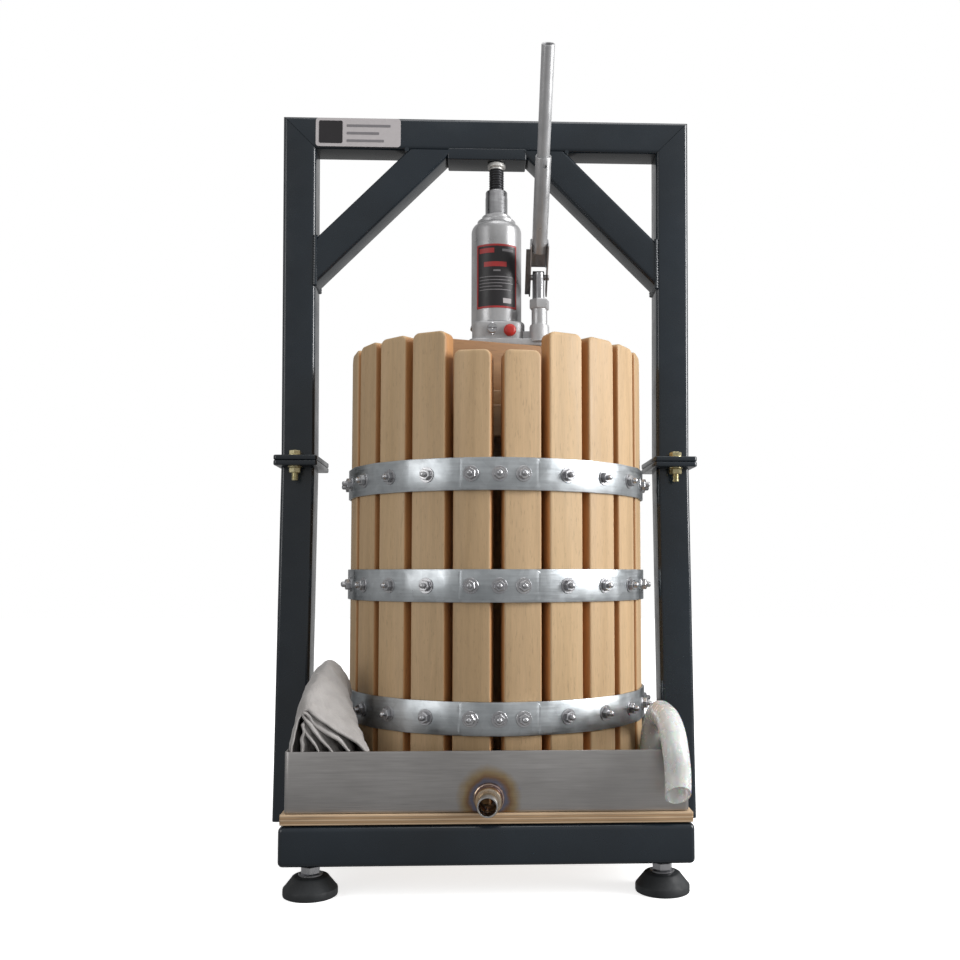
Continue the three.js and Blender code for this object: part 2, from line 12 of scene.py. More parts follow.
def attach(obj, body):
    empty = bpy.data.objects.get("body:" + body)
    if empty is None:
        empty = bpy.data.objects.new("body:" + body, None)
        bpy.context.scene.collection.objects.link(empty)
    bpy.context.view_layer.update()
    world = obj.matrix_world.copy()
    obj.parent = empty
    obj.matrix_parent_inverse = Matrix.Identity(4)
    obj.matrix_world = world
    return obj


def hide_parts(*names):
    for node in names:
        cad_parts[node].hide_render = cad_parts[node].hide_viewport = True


MM = 0.001
SIDES = (("left", -1), ("right", 1))
ENDS = (("front", -1), ("rear", 1))
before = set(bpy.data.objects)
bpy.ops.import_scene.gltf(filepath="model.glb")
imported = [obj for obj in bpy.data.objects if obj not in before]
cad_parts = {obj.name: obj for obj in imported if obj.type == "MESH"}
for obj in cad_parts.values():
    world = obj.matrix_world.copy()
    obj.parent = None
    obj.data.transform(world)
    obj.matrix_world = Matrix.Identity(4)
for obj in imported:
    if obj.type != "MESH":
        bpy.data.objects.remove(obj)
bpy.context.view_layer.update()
scene = bpy.context.scene

# ---- sizes, in millimetres
FRAME_Y = 14  # middle plane of the steel frame
AXIS = (12, 8)  # the basket and the jack stand on this vertical line
TUBE = 40
TUBE_ROUND = 5
HALF = TUBE / 2
BASE_HALF = 210
BASE_Z = 34.5
FOOT_OFFSET = 181
BOARD_HALF = 208.5
BOARD_Z = (76, 86)
TRAY_HALF = 205
TRAY_Z = 86.3
TRAY_TOP = 148
TRAY_FLOOR = 88.3
GAP = 0.3
FLANGE_Z = 461  # where the arch is bolted to the lower posts
FLANGE_THICKNESS = 6
FLANGE_X = (200.5, 252)
FLANGE_HALF_DEPTH = 50
BOLT_Y = 35  # flange bolts, before and behind each post
ARCH_TOP = 891.5
POST_FLOOR = 253  # outer face of a post at the floor frame, the flange and the top
POST_FLANGE = 248.5
POST_TOP = 251.5
BRACE_Z = (680.5, 740.5)
BRACE_LEVEL = 710  # where a brace's foot meets its post
BEARING_HALF = 49
BEARING_Z = 840
APOTHEM = 174.5
STAVE_COUNT = 22
FRONT_STAVES = (0, STAVE_COUNT - 1)  # the two beside the gap at the front
STAVE_STEP = 360 / STAVE_COUNT
STAVE_WIDTH = 41
STAVE_LENGTH = 500
SHORT_STAVE_LENGTH = 478  # the front staves
STAVE_DRIFT = {  # degrees off even spacing
    8: 0.5, 9: 1, 10: 1.5, 11: 2, 12: 2.2, 13: 1.8, 14: 1.3, 15: 0.8, 16: 0.3,
    17: -0.3, 18: -0.7, 19: -1, 20: -1.3, 21: -1.4, 22: -1.5,
}
STAVE_THICKNESS = 20
STAVE_Z = 88.6
HOOP_LEVELS = {"hoop_bottom": 176.5, "hoop_middle": 314.5, "hoop_top": 432.5}
HOOP_WIDTH = 35
HOOP_THICKNESS = 2.5
DISC_Z = (476.3, 511.3)
DISC_RADIUS = 148
BOARD_X, BOARD_Y = 117.5, 90  # half sizes of the press board
PRESS_BOARD_Z = (511.6, 537.6)
BLOCK_X, BLOCK_Y = 75, 56
BLOCK_Z = (537.9, 600.2)
BLOCK_TURN = math.radians(18)
JACK_Z = 600.5
TANK_RADIUS = 31
RAM_Z = (667.4, 804)
SCREW_Z = (765, 832)
SADDLE_TOP = 839.6
PISTON_Z = (644.5, 693.4)
PUMP = (63.5, -24)
PIVOT = (63.2, -6, 691.5)
HANDLE_LEAN = 42  # degrees forward of upright
LOWER_TUBE = (34, 150)  # along the leaning handle, from its pin
UPPER_TUBE = (105, 270)
VALVE_AT = (6, 621)  # X and Z on the jack's front face
PLUG_AT = (27.7, 620)
HOSE_DIAMETER = 26

# ---- camera
camera_data = bpy.data.cameras.new("camera")
camera = bpy.data.objects.new("camera", camera_data)
scene.collection.objects.link(camera)
camera.location = (-0.01307, -1.22927, 0.32829)
camera.rotation_euler = (math.radians(93.692), 0, math.radians(-2.176))
camera_data.lens = 37.88
camera_data.sensor_width = 36
camera_data.shift_x = -0.0354
camera_data.shift_y = 0.0286
camera_data.clip_end = 50
scene.camera = camera


# ---- mesh helpers
class Shape:
    """Points in millimetres and faces, gathered from several closed bodies."""

    def __init__(self):
        self.points = []
        self.faces = []
        self.slots = []

    def add(self, part, matrix=None, slot=0):
        points, faces = part
        start = len(self.points)
        if matrix is None:
            matrix = Matrix()
        self.points += [matrix @ Vector(point) for point in points]
        self.faces += [[start + index for index in face] for face in faces]
        self.slots += [slot] * len(faces)
        return self


def loft(rings, around=False):
    """Skin over closed rings that have the same number of points."""
    count = len(rings[0])
    points = [point for ring in rings for point in ring]
    faces = []
    pairs = len(rings) if around else len(rings) - 1
    for level in range(pairs):
        low = level * count
        high = ((level + 1) % len(rings)) * count
        for index in range(count):
            after = (index + 1) % count
            faces.append([low + index, low + after, high + after, high + index])
    if not around:
        top = (len(rings) - 1) * count
        faces.append(list(range(count))[::-1])
        faces.append([top + index for index in range(count)])
    return points, faces


def circle(radius, z, sides=48):
    turn = 2 * math.pi / sides
    return [(radius * math.cos(i * turn), radius * math.sin(i * turn), z) for i in range(sides)]


def lathe(profile, sides=48):
    """A solid of revolution about Z. A profile point on the axis closes that end."""
    rings = [circle(radius, z, sides) for radius, z in profile if radius > 0]
    closed = profile[0] == profile[-1]
    if closed:
        rings.pop()
    return loft(rings, around=closed)


def quarter_turns(centres, segments):
    """Points round the corners of an outline, each given by its arc's centre, radius and first quarter."""
    points = []
    for cx, cy, r, quarter in centres:
        for step in range(segments + 1):
            angle = (quarter + step / segments) * math.pi / 2
            points.append((cx + r * math.cos(angle), cy + r * math.sin(angle)))
    return points


def four_corners(x0, x1, y0, y1, low, high, segments=5):
    """A rectangle with one radius at its lower two corners and another at its upper two."""
    return quarter_turns([
        (x1 - high, y1 - high, high, 0), (x0 + high, y1 - high, high, 1),
        (x0 + low, y0 + low, low, 2), (x1 - low, y0 + low, low, 3),
    ], segments)


def rounded_rect(low, high, radius, z, inset=0.0, segments=5):
    x0, y0 = low[0] + inset, low[1] + inset
    x1, y1 = high[0] - inset, high[1] - inset
    r = max(radius - inset, 0.3)
    return [(x, y, z) for x, y in four_corners(x0, x1, y0, y1, r, r, segments)]


def soft_disc(radius, z0, z1, inset, depth, sides=48):
    """A turned disc or pin with a small chamfer round each end."""
    return lathe([(0, z0), (radius - inset, z0), (radius, z0 + depth), (radius, z1 - depth),
                  (radius - inset, z1), (0, z1)], sides)


def rounded_block(low, high, radius, z0, z1, fillet, steps=3):
    """A block with upright corners of one radius and a small fillet round its top and bottom."""
    angles = [step / steps * math.pi / 2 for step in range(steps + 1)]
    levels = [(z0 + fillet * (1 - math.cos(angle)), fillet * (1 - math.sin(angle))) for angle in angles]
    levels += [(z1 - fillet * (1 - math.sin(angle)), fillet * (1 - math.cos(angle))) for angle in angles]
    return loft([rounded_rect(low, high, radius, z, inset) for z, inset in levels])


def tube_section():
    return [(a, b) for a, b, _ in rounded_rect((-HALF, -HALF), (HALF, HALF), TUBE_ROUND, 0)]


def square_tube(start, end, normals):
    """A rounded square tube between two points in a plane of constant Y, cut by a plane at each end."""
    start, end = Vector(start), Vector(end)
    along = (end - start).normalized()
    deep = Vector((0, 1, 0))
    across = along.cross(deep).normalized()
    rings = []
    for middle, normal in ((start, normals[0]), (end, normals[1])):
        normal = Vector(normal)
        ring = []
        for a, b in tube_section():
            offset = across * a + deep * b
            slide = -offset.dot(normal) / along.dot(normal)
            ring.append(middle + offset + along * slide)
        rings.append(ring)
    return loft(rings)


def between(first, second, t, start, end):
    return first * ((end - t) / (end - start)) + second * ((t - start) / (end - start))


def smooth_path(points, per_span):
    """A centripetal Catmull-Rom line through the points."""
    points = [Vector(p) for p in points]
    padded = [points[0] * 2 - points[1], *points, points[-1] * 2 - points[-2]]
    line = []
    for index in range(1, len(padded) - 2):
        p0, p1, p2, p3 = padded[index - 1: index + 3]
        t0 = 0.0
        t1 = t0 + (p1 - p0).length ** 0.5
        t2 = t1 + (p2 - p1).length ** 0.5
        t3 = t2 + (p3 - p2).length ** 0.5
        for step in range(per_span):
            t = t1 + (t2 - t1) * step / per_span
            a1 = between(p0, p1, t, t0, t1)
            a2 = between(p1, p2, t, t1, t2)
            a3 = between(p2, p3, t, t2, t3)
            b1 = between(a1, a2, t, t0, t2)
            b2 = between(a2, a3, t, t1, t3)
            line.append(between(b1, b2, t, t1, t2))
    line.append(points[-1])
    return line


def path_frames(line):
    """At each point of a line, two directions square to it that don't twist along the way."""
    side = Vector((1, 0, 0))
    frames = []
    for index, point in enumerate(line):
        before = line[max(index - 1, 0)]
        after = line[min(index + 1, len(line) - 1)]
        along = (after - before).normalized()
        side = (side - along * side.dot(along)).normalized()
        frames.append((side, along.cross(side)))
    return frames


def sweep(line, radii, sides):
    rings = []
    for point, (side, other), radius in zip(line, path_frames(line), radii):
        rings.append([point + side * x + other * y for x, y, _ in circle(radius, 0, sides)])
    return loft(rings)


BEAD_RADIUS = 2.4
BEAD_PITCH = 3.2


def bead(corners):
    """A rippled weld bead along straight runs between the corners."""
    line = []
    corners = [Vector(c) for c in corners]
    for first, second in zip(corners, corners[1:]):
        steps = max(2, round((second - first).length / 0.8))
        line += [first.lerp(second, step / steps) for step in range(steps)]
    line.append(corners[-1])
    radii = []
    travelled = 0.0
    for index, point in enumerate(line):
        if index:
            travelled += (point - line[index - 1]).length
        ripple = 0.22 * math.cos(2 * math.pi * travelled / BEAD_PITCH)
        radii.append(BEAD_RADIUS * (1 + 0.2 * noise.noise(point * 0.07)) + ripple)
    return sweep(line, radii, sides=8)


def hex_nut(radius, z, height):
    """A nut standing on z, with its corners taken off at the top and the bottom."""
    chamfer = 0.12 * height
    return loft([
        circle(0.93 * radius, z, 6), circle(radius, z + chamfer, 6),
        circle(radius, z + height - chamfer, 6), circle(0.9 * radius, z + height, 6),
    ])


def ring_nut(radius, bore, z, height):
    """A nut with a round hole through it."""
    sides = 36
    chamfer = 0.1 * height

    def outline(scale, level):
        ring = []
        for index in range(sides):
            angle = 2 * math.pi * index / sides
            inside = (angle % (math.pi / 3)) - math.pi / 6
            reach = scale * radius * math.cos(math.pi / 6) / math.cos(inside)
            ring.append((reach * math.cos(angle), reach * math.sin(angle), level))
        return ring

    top = z + height
    return loft([
        outline(0.94, z), outline(1, z + chamfer), outline(1, top - chamfer), outline(0.92, top),
        circle(bore + 0.6, top, sides), circle(bore, top - 0.6, sides), circle(bore, z, sides),
    ], around=True)


def threaded(radius, z0, z1, pitch, depth, sides=24):
    """A rod with ridges round it."""
    profile = [(0, z0), (radius - depth, z0)]
    count = max(1, int((z1 - z0) / pitch))
    pitch = (z1 - z0) / count
    for index in range(count):
        low = z0 + index * pitch
        profile += [(radius - depth, low + 0.1 * pitch), (radius, low + 0.42 * pitch)]
        profile += [(radius, low + 0.58 * pitch), (radius - depth, low + 0.9 * pitch)]
    profile += [(radius - depth, z1), (0, z1)]
    return lathe(profile, sides)


def turned(place, angle, axis="Z"):
    """Moves to a place and turns there by an angle in radians."""
    return Matrix.Translation(place) @ Matrix.Rotation(angle, 4, axis)


def make_piece(name, shape, materials, angle=35.0):
    mesh = bpy.data.meshes.new(name)
    mesh.from_pydata([tuple(point * MM) for point in shape.points], [], shape.faces)
    for surface in materials:
        mesh.materials.append(surface)
    mesh.polygons.foreach_set("material_index", shape.slots)
    mesh.validate()
    mesh.shade_smooth()
    mesh.set_sharp_from_angle(angle=math.radians(angle))
    piece = bpy.data.objects.new(name, mesh)
    scene.collection.objects.link(piece)
    return piece


def settle(piece, body, slot, *nodes):
    """Puts a finished piece on its body, in place of the CAD nodes that it stands for."""
    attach(piece, body)
    if nodes:
        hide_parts(*nodes)


def add_piece(name, shape, materials, body, slot, *nodes, angle=35.0):
    piece = make_piece(name, shape, materials, angle)
    settle(piece, body, slot, *nodes)
    return piece


def carve(piece, tool_part, matrix):
    """Cuts a closed tool shape out of a piece."""
    tool = make_piece("cutter", Shape().add(tool_part, matrix), [])
    modifier = piece.modifiers.new("carve", "BOOLEAN")
    modifier.operation = "DIFFERENCE"
    modifier.solver = "EXACT"
    modifier.object = tool
    bpy.context.view_layer.update()
    evaluated = piece.evaluated_get(bpy.context.evaluated_depsgraph_get())
    piece.modifiers.clear()
    piece.data = bpy.data.meshes.new_from_object(evaluated)
    piece.data.name = piece.name
    piece.data.shade_smooth()
    piece.data.set_sharp_from_angle(angle=math.radians(35))
    bpy.data.objects.remove(tool)


# ---- material helpers
class Tree:
    """A node tree with short calls for the nodes used here."""

    def __init__(self, tree):
        self.tree = tree

    def new(self, kind, links=(), **values):
        node = self.tree.nodes.new(kind)
        for key, value in values.items():
            setattr(node, key, value)
        for socket, source in links:
            if isinstance(source, bpy.types.NodeSocket):
                self.tree.links.new(source, node.inputs[socket])
            else:
                node.inputs[socket].default_value = source
        return node

    def coordinates(self, output="Object"):
        return self.new("ShaderNodeTexCoord").outputs[output]

    def noise(self, scale, detail=4.0, stretch=(1, 1, 1), vector=None, twist=0.0):
        source = self.coordinates() if vector is None else vector
        mapped = self.new("ShaderNodeMapping", [("Vector", source), ("Scale", stretch)]).outputs[0]
        links = [("Vector", mapped), ("Scale", scale), ("Detail", detail)]
        links += [("Roughness", 0.55), ("Distortion", twist)]
        return self.new("ShaderNodeTexNoise", links).outputs["Fac"]

    def ramp(self, factor, *stops):
        node = self.new("ShaderNodeValToRGB", [("Fac", factor)])
        elements = node.color_ramp.elements
        while len(elements) < len(stops):
            elements.new(0.5)
        for element, (position, value) in zip(elements, stops):
            element.position = position
            element.color = (value, value, value, 1) if isinstance(value, float) else (*value, 1)
        return node.outputs["Color"]

    def mix(self, factor, first, second, blend="MIX"):
        links = [(0, factor)]
        for socket, source in ((6, first), (7, second)):
            links.append((socket, (*source, 1) if isinstance(source, tuple) else source))
        return self.new("ShaderNodeMix", links, data_type="RGBA", blend_type=blend).outputs[2]

    def shade(self, base, factor, darkest, lightest):
        """Darkens a colour by a ramp, from the darkest stop's value up to 1 at the position lightest."""
        return self.mix(1.0, base, self.ramp(factor, darkest, (lightest, 1.0)), "MULTIPLY")

    def math(self, operation, first, second=0.0):
        return self.new("ShaderNodeMath", [(0, first), (1, second)], operation=operation).outputs[0]

    def span(self, factor, low, high, from_low=0.0, from_high=1.0):
        links = [("Value", factor), ("To Min", low), ("To Max", high)]
        links += [("From Min", from_low), ("From Max", from_high)]
        return self.new("ShaderNodeMapRange", links).outputs[0]


class Nodes(Tree):
    """A material's node tree and its shader."""

    def __init__(self, name, roughness, metallic=0.0, **sockets):
        self.material = bpy.data.materials.new(name)
        self.material.use_nodes = True
        super().__init__(self.material.node_tree)
        self.shader = self.tree.nodes["Principled BSDF"]
        sockets.update(Roughness=roughness, Metallic=metallic)
        for socket, value in sockets.items():
            self.shader.inputs[socket.replace("_", " ")].default_value = value

    def color(self, source):
        self.tree.links.new(source, self.shader.inputs["Base Color"])

    def rough(self, source):
        self.tree.links.new(source, self.shader.inputs["Roughness"])

    def bump(self, height, strength, distance=0.0004):
        links = [("Height", height), ("Strength", strength), ("Distance", distance)]
        previous = self.shader.inputs["Normal"]
        if previous.is_linked:
            links.append(("Normal", previous.links[0].from_socket))
        self.tree.links.new(self.new("ShaderNodeBump", links).outputs[0], previous)


def painted(name, color, lighter, roughness=0.22, peel=0.12):
    """Glossy enamel with a little orange peel, slow waves and dust."""
    m = Nodes(name, roughness, 0.0, Coat_Weight=0.25, Coat_Roughness=0.06)
    cloud = m.noise(9, 5)
    m.color(m.mix(m.ramp(cloud, (0.35, 0.0), (0.7, 1.0)), color, lighter))
    m.rough(m.span(m.noise(38, 6), roughness - 0.06, roughness + 0.16, 0.3, 0.75))
    m.bump(m.noise(330, 2), peel, 0.0003)
    m.bump(m.noise(28, 2), 0.25, 0.0012)
    return m.material


def metal(name, dark, light, roughness, stretch, metallic=1.0, scratch=0.12, spangle=0.0):
    """Bare or plated metal: cloudy colour, fine marks stretched along one direction."""
    m = Nodes(name, roughness, metallic)
    cloud = m.ramp(m.noise(24, 5), (0.3, 0.0), (0.72, 1.0))
    marks = m.noise(520, 3, stretch)
    base = m.mix(cloud, dark, light)
    if spangle:
        cells = m.new("ShaderNodeTexVoronoi", [("Vector", m.coordinates()), ("Scale", 130.0)])
        grey = m.ramp(cells.outputs["Color"], (0.0, 0.72), (1.0, 1.0))
        base = m.mix(spangle, base, grey, "MULTIPLY")
    m.color(m.shade(base, marks, (0.3, 0.86), 0.7))
    blotch = m.math("ADD", m.span(m.noise(60, 4), -0.07, 0.09, 0.3, 0.7), roughness)
    m.rough(m.math("ADD", blotch, m.span(marks, -0.04, 0.06, 0.3, 0.7)))
    m.bump(marks, scratch, 0.0002)
    return m.material


def wood(name, light, dark, along="z", edge=None, toned=False):
    """Planed timber: soft bands along the grain, short dark flecks and fine pores."""
    m = Nodes(name, 0.55)
    vector = m.coordinates()
    if toned:
        tone = m.new("ShaderNodeAttribute", attribute_name="tone")
        links = [(0, tone.outputs["Vector"]), (1, (7, 5, 9))]
        shift = m.new("ShaderNodeVectorMath", links, operation="MULTIPLY").outputs[0]
        vector = m.new("ShaderNodeVectorMath", [(0, vector), (1, shift)], operation="ADD").outputs[0]
    run = {"x": (0.06, 1, 1), "y": (1, 0.06, 1), "z": (1, 1, 0.06)}[along]
    fleck = {"x": (0.16, 1, 1), "y": (1, 0.16, 1), "z": (1, 1, 0.16)}[along]
    broad = m.noise(34, 4, run, vector=vector, twist=0.6)
    bands = m.noise(120, 5, run, vector=vector, twist=1.2)
    pores = m.noise(900, 3, run, vector=vector)
    flecks = m.noise(620, 2, fleck, vector=vector)
    base = m.mix(m.ramp(broad, (0.3, 0.0), (0.72, 1.0)), dark, light)
    base = m.shade(base, bands, (0.34, 0.9), 0.66)
    base = m.shade(base, pores, (0.3, 0.92), 0.62)
    base = m.shade(base, flecks, (0.3, 0.84), 0.4)
    # Faces that look along X, into the gaps between staves, are multiplied by the edge colour: painted
    # shade.
    if edge is not None:
        normal = m.new("ShaderNodeSeparateXYZ", [(0, m.coordinates("Normal"))]).outputs[0]
        gap_shade_mask = m.ramp(m.math("ABSOLUTE", normal), (0.55, 0.0), (0.9, 1.0))
        base = m.mix(gap_shade_mask, base, m.mix(1.0, base, edge, "MULTIPLY"))
    if toned:
        level = m.new("ShaderNodeSeparateXYZ", [(0, tone.outputs["Vector"])]).outputs[2]
        tint = m.ramp(level, (0.0, (0.86, 0.84, 0.82)), (1.0, (1.0, 1.0, 1.0)))
        base = m.mix(1.0, base, tint, "MULTIPLY")
    m.color(base)
    m.rough(m.span(bands, 0.46, 0.66, 0.3, 0.7))
    m.bump(pores, 0.14, 0.0002)
    m.bump(bands, 0.16, 0.0004)
    return m.material


PAINT = painted("enamel", (0.0045, 0.0095, 0.015), (0.0075, 0.0145, 0.0225))
# Its fourth colour darkens the staves' side faces in the gaps between them: painted shade.
STAVE_WOOD = wood("stave_beech", (0.72, 0.51, 0.3), (0.57, 0.39, 0.21), "z", (0.8, 0.56, 0.36), True)
BLOCK_WOOD = wood("block_wood", (0.42, 0.23, 0.105), (0.27, 0.135, 0.055), "x")
DISC_WOOD = wood("disc_wood", (0.5, 0.33, 0.18), (0.37, 0.22, 0.11), "x")
HOOP_METAL = metal(
    "galvanised", (0.45, 0.48, 0.5), (0.66, 0.69, 0.71), 0.36, (0.05, 0.05, 1), scratch=0.1, spangle=0.5,
)
NUT_METAL = metal("nut_zinc", (0.4, 0.4, 0.42), (0.62, 0.62, 0.63), 0.3, (1, 1, 0.3))
YELLOW_ZINC = metal("yellow_zinc", (0.52, 0.46, 0.26), (0.72, 0.66, 0.42), 0.32, (1, 1, 0.3))
STEEL = metal("ground_steel", (0.3, 0.3, 0.31), (0.5, 0.5, 0.51), 0.3, (0.2, 0.2, 1))
BLACK_STEEL = metal("black_steel", (0.02, 0.02, 0.022), (0.06, 0.06, 0.065), 0.42, (0.4, 0.4, 1), 0.6)
SADDLE_STEEL = metal("saddle_steel", (0.55, 0.54, 0.52), (0.8, 0.79, 0.76), 0.42, (1, 1, 1), 0.5)
# Darker steel for the jack's link plate and the handle fork's lower cheeks and lip: painted shade, for the
# shadow on these plates.
SHADED_LINK_STEEL = metal("link_steel_painted_shade", (0.12, 0.12, 0.125), (0.25, 0.25, 0.26), 0.4, (1, 1, 0.2), 0.8)


def silver_paint(name, grain, bump, roughness):
    """Silver enamel, over a casting when the grain is coarse."""
    m = Nodes(name, roughness, 0.55)
    cloud = m.noise(18, 5)
    flakes = m.noise(1500, 2)
    base = m.mix(m.ramp(cloud, (0.3, 0.0), (0.7, 1.0)), (0.42, 0.42, 0.425), (0.58, 0.58, 0.59))
    m.color(m.shade(base, flakes, (0.3, 0.82), 0.7))
    m.rough(m.span(m.noise(70, 5), roughness - 0.08, roughness + 0.12, 0.3, 0.7))
    m.bump(m.noise(grain, 4), bump, 0.0006)
    return m.material


SILVER = silver_paint("silver_enamel", 260, 0.08, 0.34)
CAST_SILVER = silver_paint("cast_silver", 420, 0.6, 0.5)


def rubber_material(name, color, roughness=0.6):
    m = Nodes(name, roughness)
    lighter = tuple(min(1.0, c * 1.7 + 0.01) for c in color)
    m.color(m.mix(m.ramp(m.noise(40, 6), (0.4, 0.0), (0.75, 1.0)), color, lighter))
    m.rough(m.span(m.noise(90, 5), roughness - 0.12, roughness + 0.2, 0.3, 0.75))
    m.bump(m.noise(700, 3), 0.2, 0.0003)
    return m.material


BLACK_RUBBER = rubber_material("black_rubber", (0.009, 0.0105, 0.012))
RED_RUBBER = rubber_material("red_rubber", (0.42, 0.022, 0.016), 0.42)


def ply_material():
    """Birch plywood: its plies show as lines round the edge and as long grain on the faces."""
    m = Nodes("plywood", 0.62)
    height = m.new("ShaderNodeSeparateXYZ", [(0, m.coordinates())]).outputs[2]
    wobble = m.span(m.noise(14, 3), -0.0004, 0.0004)
    level = m.span(m.math("ADD", height, wobble), 0.0, 1.0, 0.076, 0.086)
    pale, brown, glue = (0.6, 0.43, 0.27), (0.44, 0.28, 0.15), (0.1, 0.055, 0.03)
    plies = m.ramp(
        level, (0.0, pale), (0.17, pale), (0.19, glue), (0.22, brown), (0.38, brown), (0.4, glue),
        (0.43, pale), (0.58, pale), (0.6, glue), (0.63, brown), (0.79, brown), (0.81, glue), (0.84, pale),
    )
    grain = m.noise(160, 5, (0.08, 1, 1), twist=0.8)
    m.color(m.shade(plies, grain, (0.3, 0.72), 0.65))
    m.rough(m.span(grain, 0.55, 0.75))
    m.bump(grain, 0.25, 0.0004)
    return m.material


def tray_material(spout_at):
    """Brushed sheet with the brown and blue rings of heat round the welded spout."""
    m = Nodes("brushed_stainless", 0.32, 1.0)
    brushed = m.noise(900, 4, (0.03, 0.03, 1))
    long_marks = m.noise(240, 3, (0.01, 0.01, 1))
    cloud = m.ramp(m.noise(7, 4), (0.3, 0.0), (0.7, 1.0))
    base = m.mix(cloud, (0.34, 0.325, 0.315), (0.5, 0.485, 0.475))
    base = m.shade(base, brushed, (0.3, 0.86), 0.7)
    base = m.shade(base, long_marks, (0.35, 0.95), 0.65)
    away = m.new("ShaderNodeVectorMath", [(0, m.coordinates()), (1, spout_at)], operation="DISTANCE")
    ragged = m.math("ADD", away.outputs["Value"], m.span(m.noise(90, 4), -0.004, 0.004))
    ring = m.span(ragged, 0.0, 1.0, 0.012, 0.034)
    tint = m.ramp(
        ring, (0.0, (0.5, 0.42, 0.4)), (0.25, (0.42, 0.45, 0.62)), (0.42, (0.62, 0.4, 0.24)),
        (0.62, (0.9, 0.7, 0.42)), (1.0, (1.0, 1.0, 1.0)),
    )
    m.color(m.mix(1.0, base, tint, "MULTIPLY"))
    m.rough(m.span(brushed, 0.34, 0.46, 0.3, 0.7))
    m.bump(brushed, 0.16, 0.0002)
    m.bump(m.noise(5, 1), 0.1, 0.001)
    return m.material


SPOUT_AT = (1, -192.3, 100.6)
SPOUT_TILT = 0.06  # radians, to the left and down
SPOUT_BORE = 8.75  # radius
PLYWOOD = ply_material()
STAINLESS = tray_material([value * MM for value in SPOUT_AT])


def spout_material():
    m = Nodes("tinted_pipe", 0.2, 1.0)
    depth = m.new("ShaderNodeSeparateXYZ", [(0, m.coordinates())]).outputs[1]
    ragged = m.math("ADD", depth, m.span(m.noise(120, 3), -0.003, 0.003))
    along = m.span(ragged, 0.0, 1.0, -0.2245, -0.193)
    tint = m.ramp(
        along, (0.0, (0.62, 0.61, 0.6)), (0.5, (0.62, 0.58, 0.52)), (0.66, (0.6, 0.42, 0.25)),
        (0.8, (0.4, 0.33, 0.4)), (1.0, (0.5, 0.38, 0.28)),
    )
    m.color(m.shade(tint, m.noise(300, 4, (1, 0.2, 1)), (0.3, 0.8), 0.7))
    m.rough(m.span(m.noise(80, 4), 0.12, 0.32, 0.3, 0.7))
    m.bump(m.noise(400, 3), 0.08, 0.0002)
    return m.material


def hose_material():
    """Milky clear PVC with soft streaks along its length."""
    m = Nodes(
        "milky_pvc", 0.2, IOR=1.45, Transmission_Weight=0.35,
        Subsurface_Weight=0.35, Subsurface_Scale=0.006,
    )
    streaks = m.noise(60, 4, (1, 1, 0.3))
    m.color(m.mix(m.ramp(streaks, (0.35, 0.0), (0.65, 1.0)), (0.8, 0.8, 0.78), (0.93, 0.93, 0.92)))
    m.rough(m.span(m.noise(140, 4), 0.14, 0.34, 0.3, 0.7))
    m.bump(m.noise(35, 3), 0.3, 0.0008)
    return m.material


def cloth_material():
    """Fine plain weave, a little creased."""
    m = Nodes("filter_cloth", 0.9, 0.0, Sheen_Weight=0.25)
    weave = []
    for direction in ("X", "Z"):
        wave = m.new(
            "ShaderNodeTexWave",
            [("Vector", m.coordinates()), ("Scale", 420.0), ("Distortion", 1.2), ("Detail", 1.0)],
            bands_direction=direction,
        )
        weave.append(wave.outputs["Fac"])
    threads = m.math("MULTIPLY", weave[0], weave[1])
    cloud = m.ramp(m.noise(26, 5), (0.3, 0.0), (0.7, 1.0))
    base = m.mix(cloud, (0.36, 0.34, 0.325), (0.5, 0.475, 0.46))
    m.color(m.shade(base, threads, (0.1, 0.76), 0.7))
    m.rough(m.span(threads, 0.8, 0.98))
    m.bump(threads, 0.5, 0.0003)
    m.bump(m.noise(75, 6, (1, 1, 0.35), twist=0.8), 0.8, 0.003)
    return m.material


HOSE_PVC = hose_material()
CLOTH = cloth_material()

# ---- hose, a tube along a bent path
HOSE_ROUTE = [
    (186, -72, 103), (187, -73, 130), (188.5, -79, 152), (190, -92, 167), (189.5, -114, 175),
    (188, -141, 177), (188, -168, 175), (188, -192, 166), (188.5, -206.5, 149), (190, -210, 126),
    (188.5, -215, 98.5),
]
HOSE_WALL = 2.6
hose_line = smooth_path(HOSE_ROUTE, 6)
HOSE_SIDES = 40
CUT_SLANT = 17.0  # how much shorter the front of the open end is


def hose_rings(radius):
    """Rings along the hose, slightly flattened over the rim and cut at a slant at the open end."""
    rings = []
    frames = path_frames(hose_line)
    last = len(hose_line) - 1
    for index, (point, (side, other)) in enumerate(zip(hose_line, frames)):
        along = side.cross(other)
        flat = 1 - 0.05 * max(0.0, 1 - abs(index / last - 0.75) * 4)
        late = max(0.0, (index - last + 8) / 8) ** 2
        ring = []
        for step in range(HOSE_SIDES):
            angle = step * 2 * math.pi / HOSE_SIDES
            forward = math.sin(angle)
            place = point + side * (radius * math.cos(angle) / flat ** 0.5)
            place += other * (radius * flat * forward)
            ring.append(place - along * (late * CUT_SLANT * (1 + forward) / 2))
        rings.append(ring)
    return rings


outer_rings = hose_rings(HOSE_DIAMETER / 2)
inner_rings = hose_rings(HOSE_DIAMETER / 2 - HOSE_WALL)
hose_shape = Shape().add(loft(outer_rings + inner_rings[::-1], around=True))
hose = add_piece("hose", hose_shape, [HOSE_PVC], "frame", "hose_plastic", "drain_hose", angle=50)

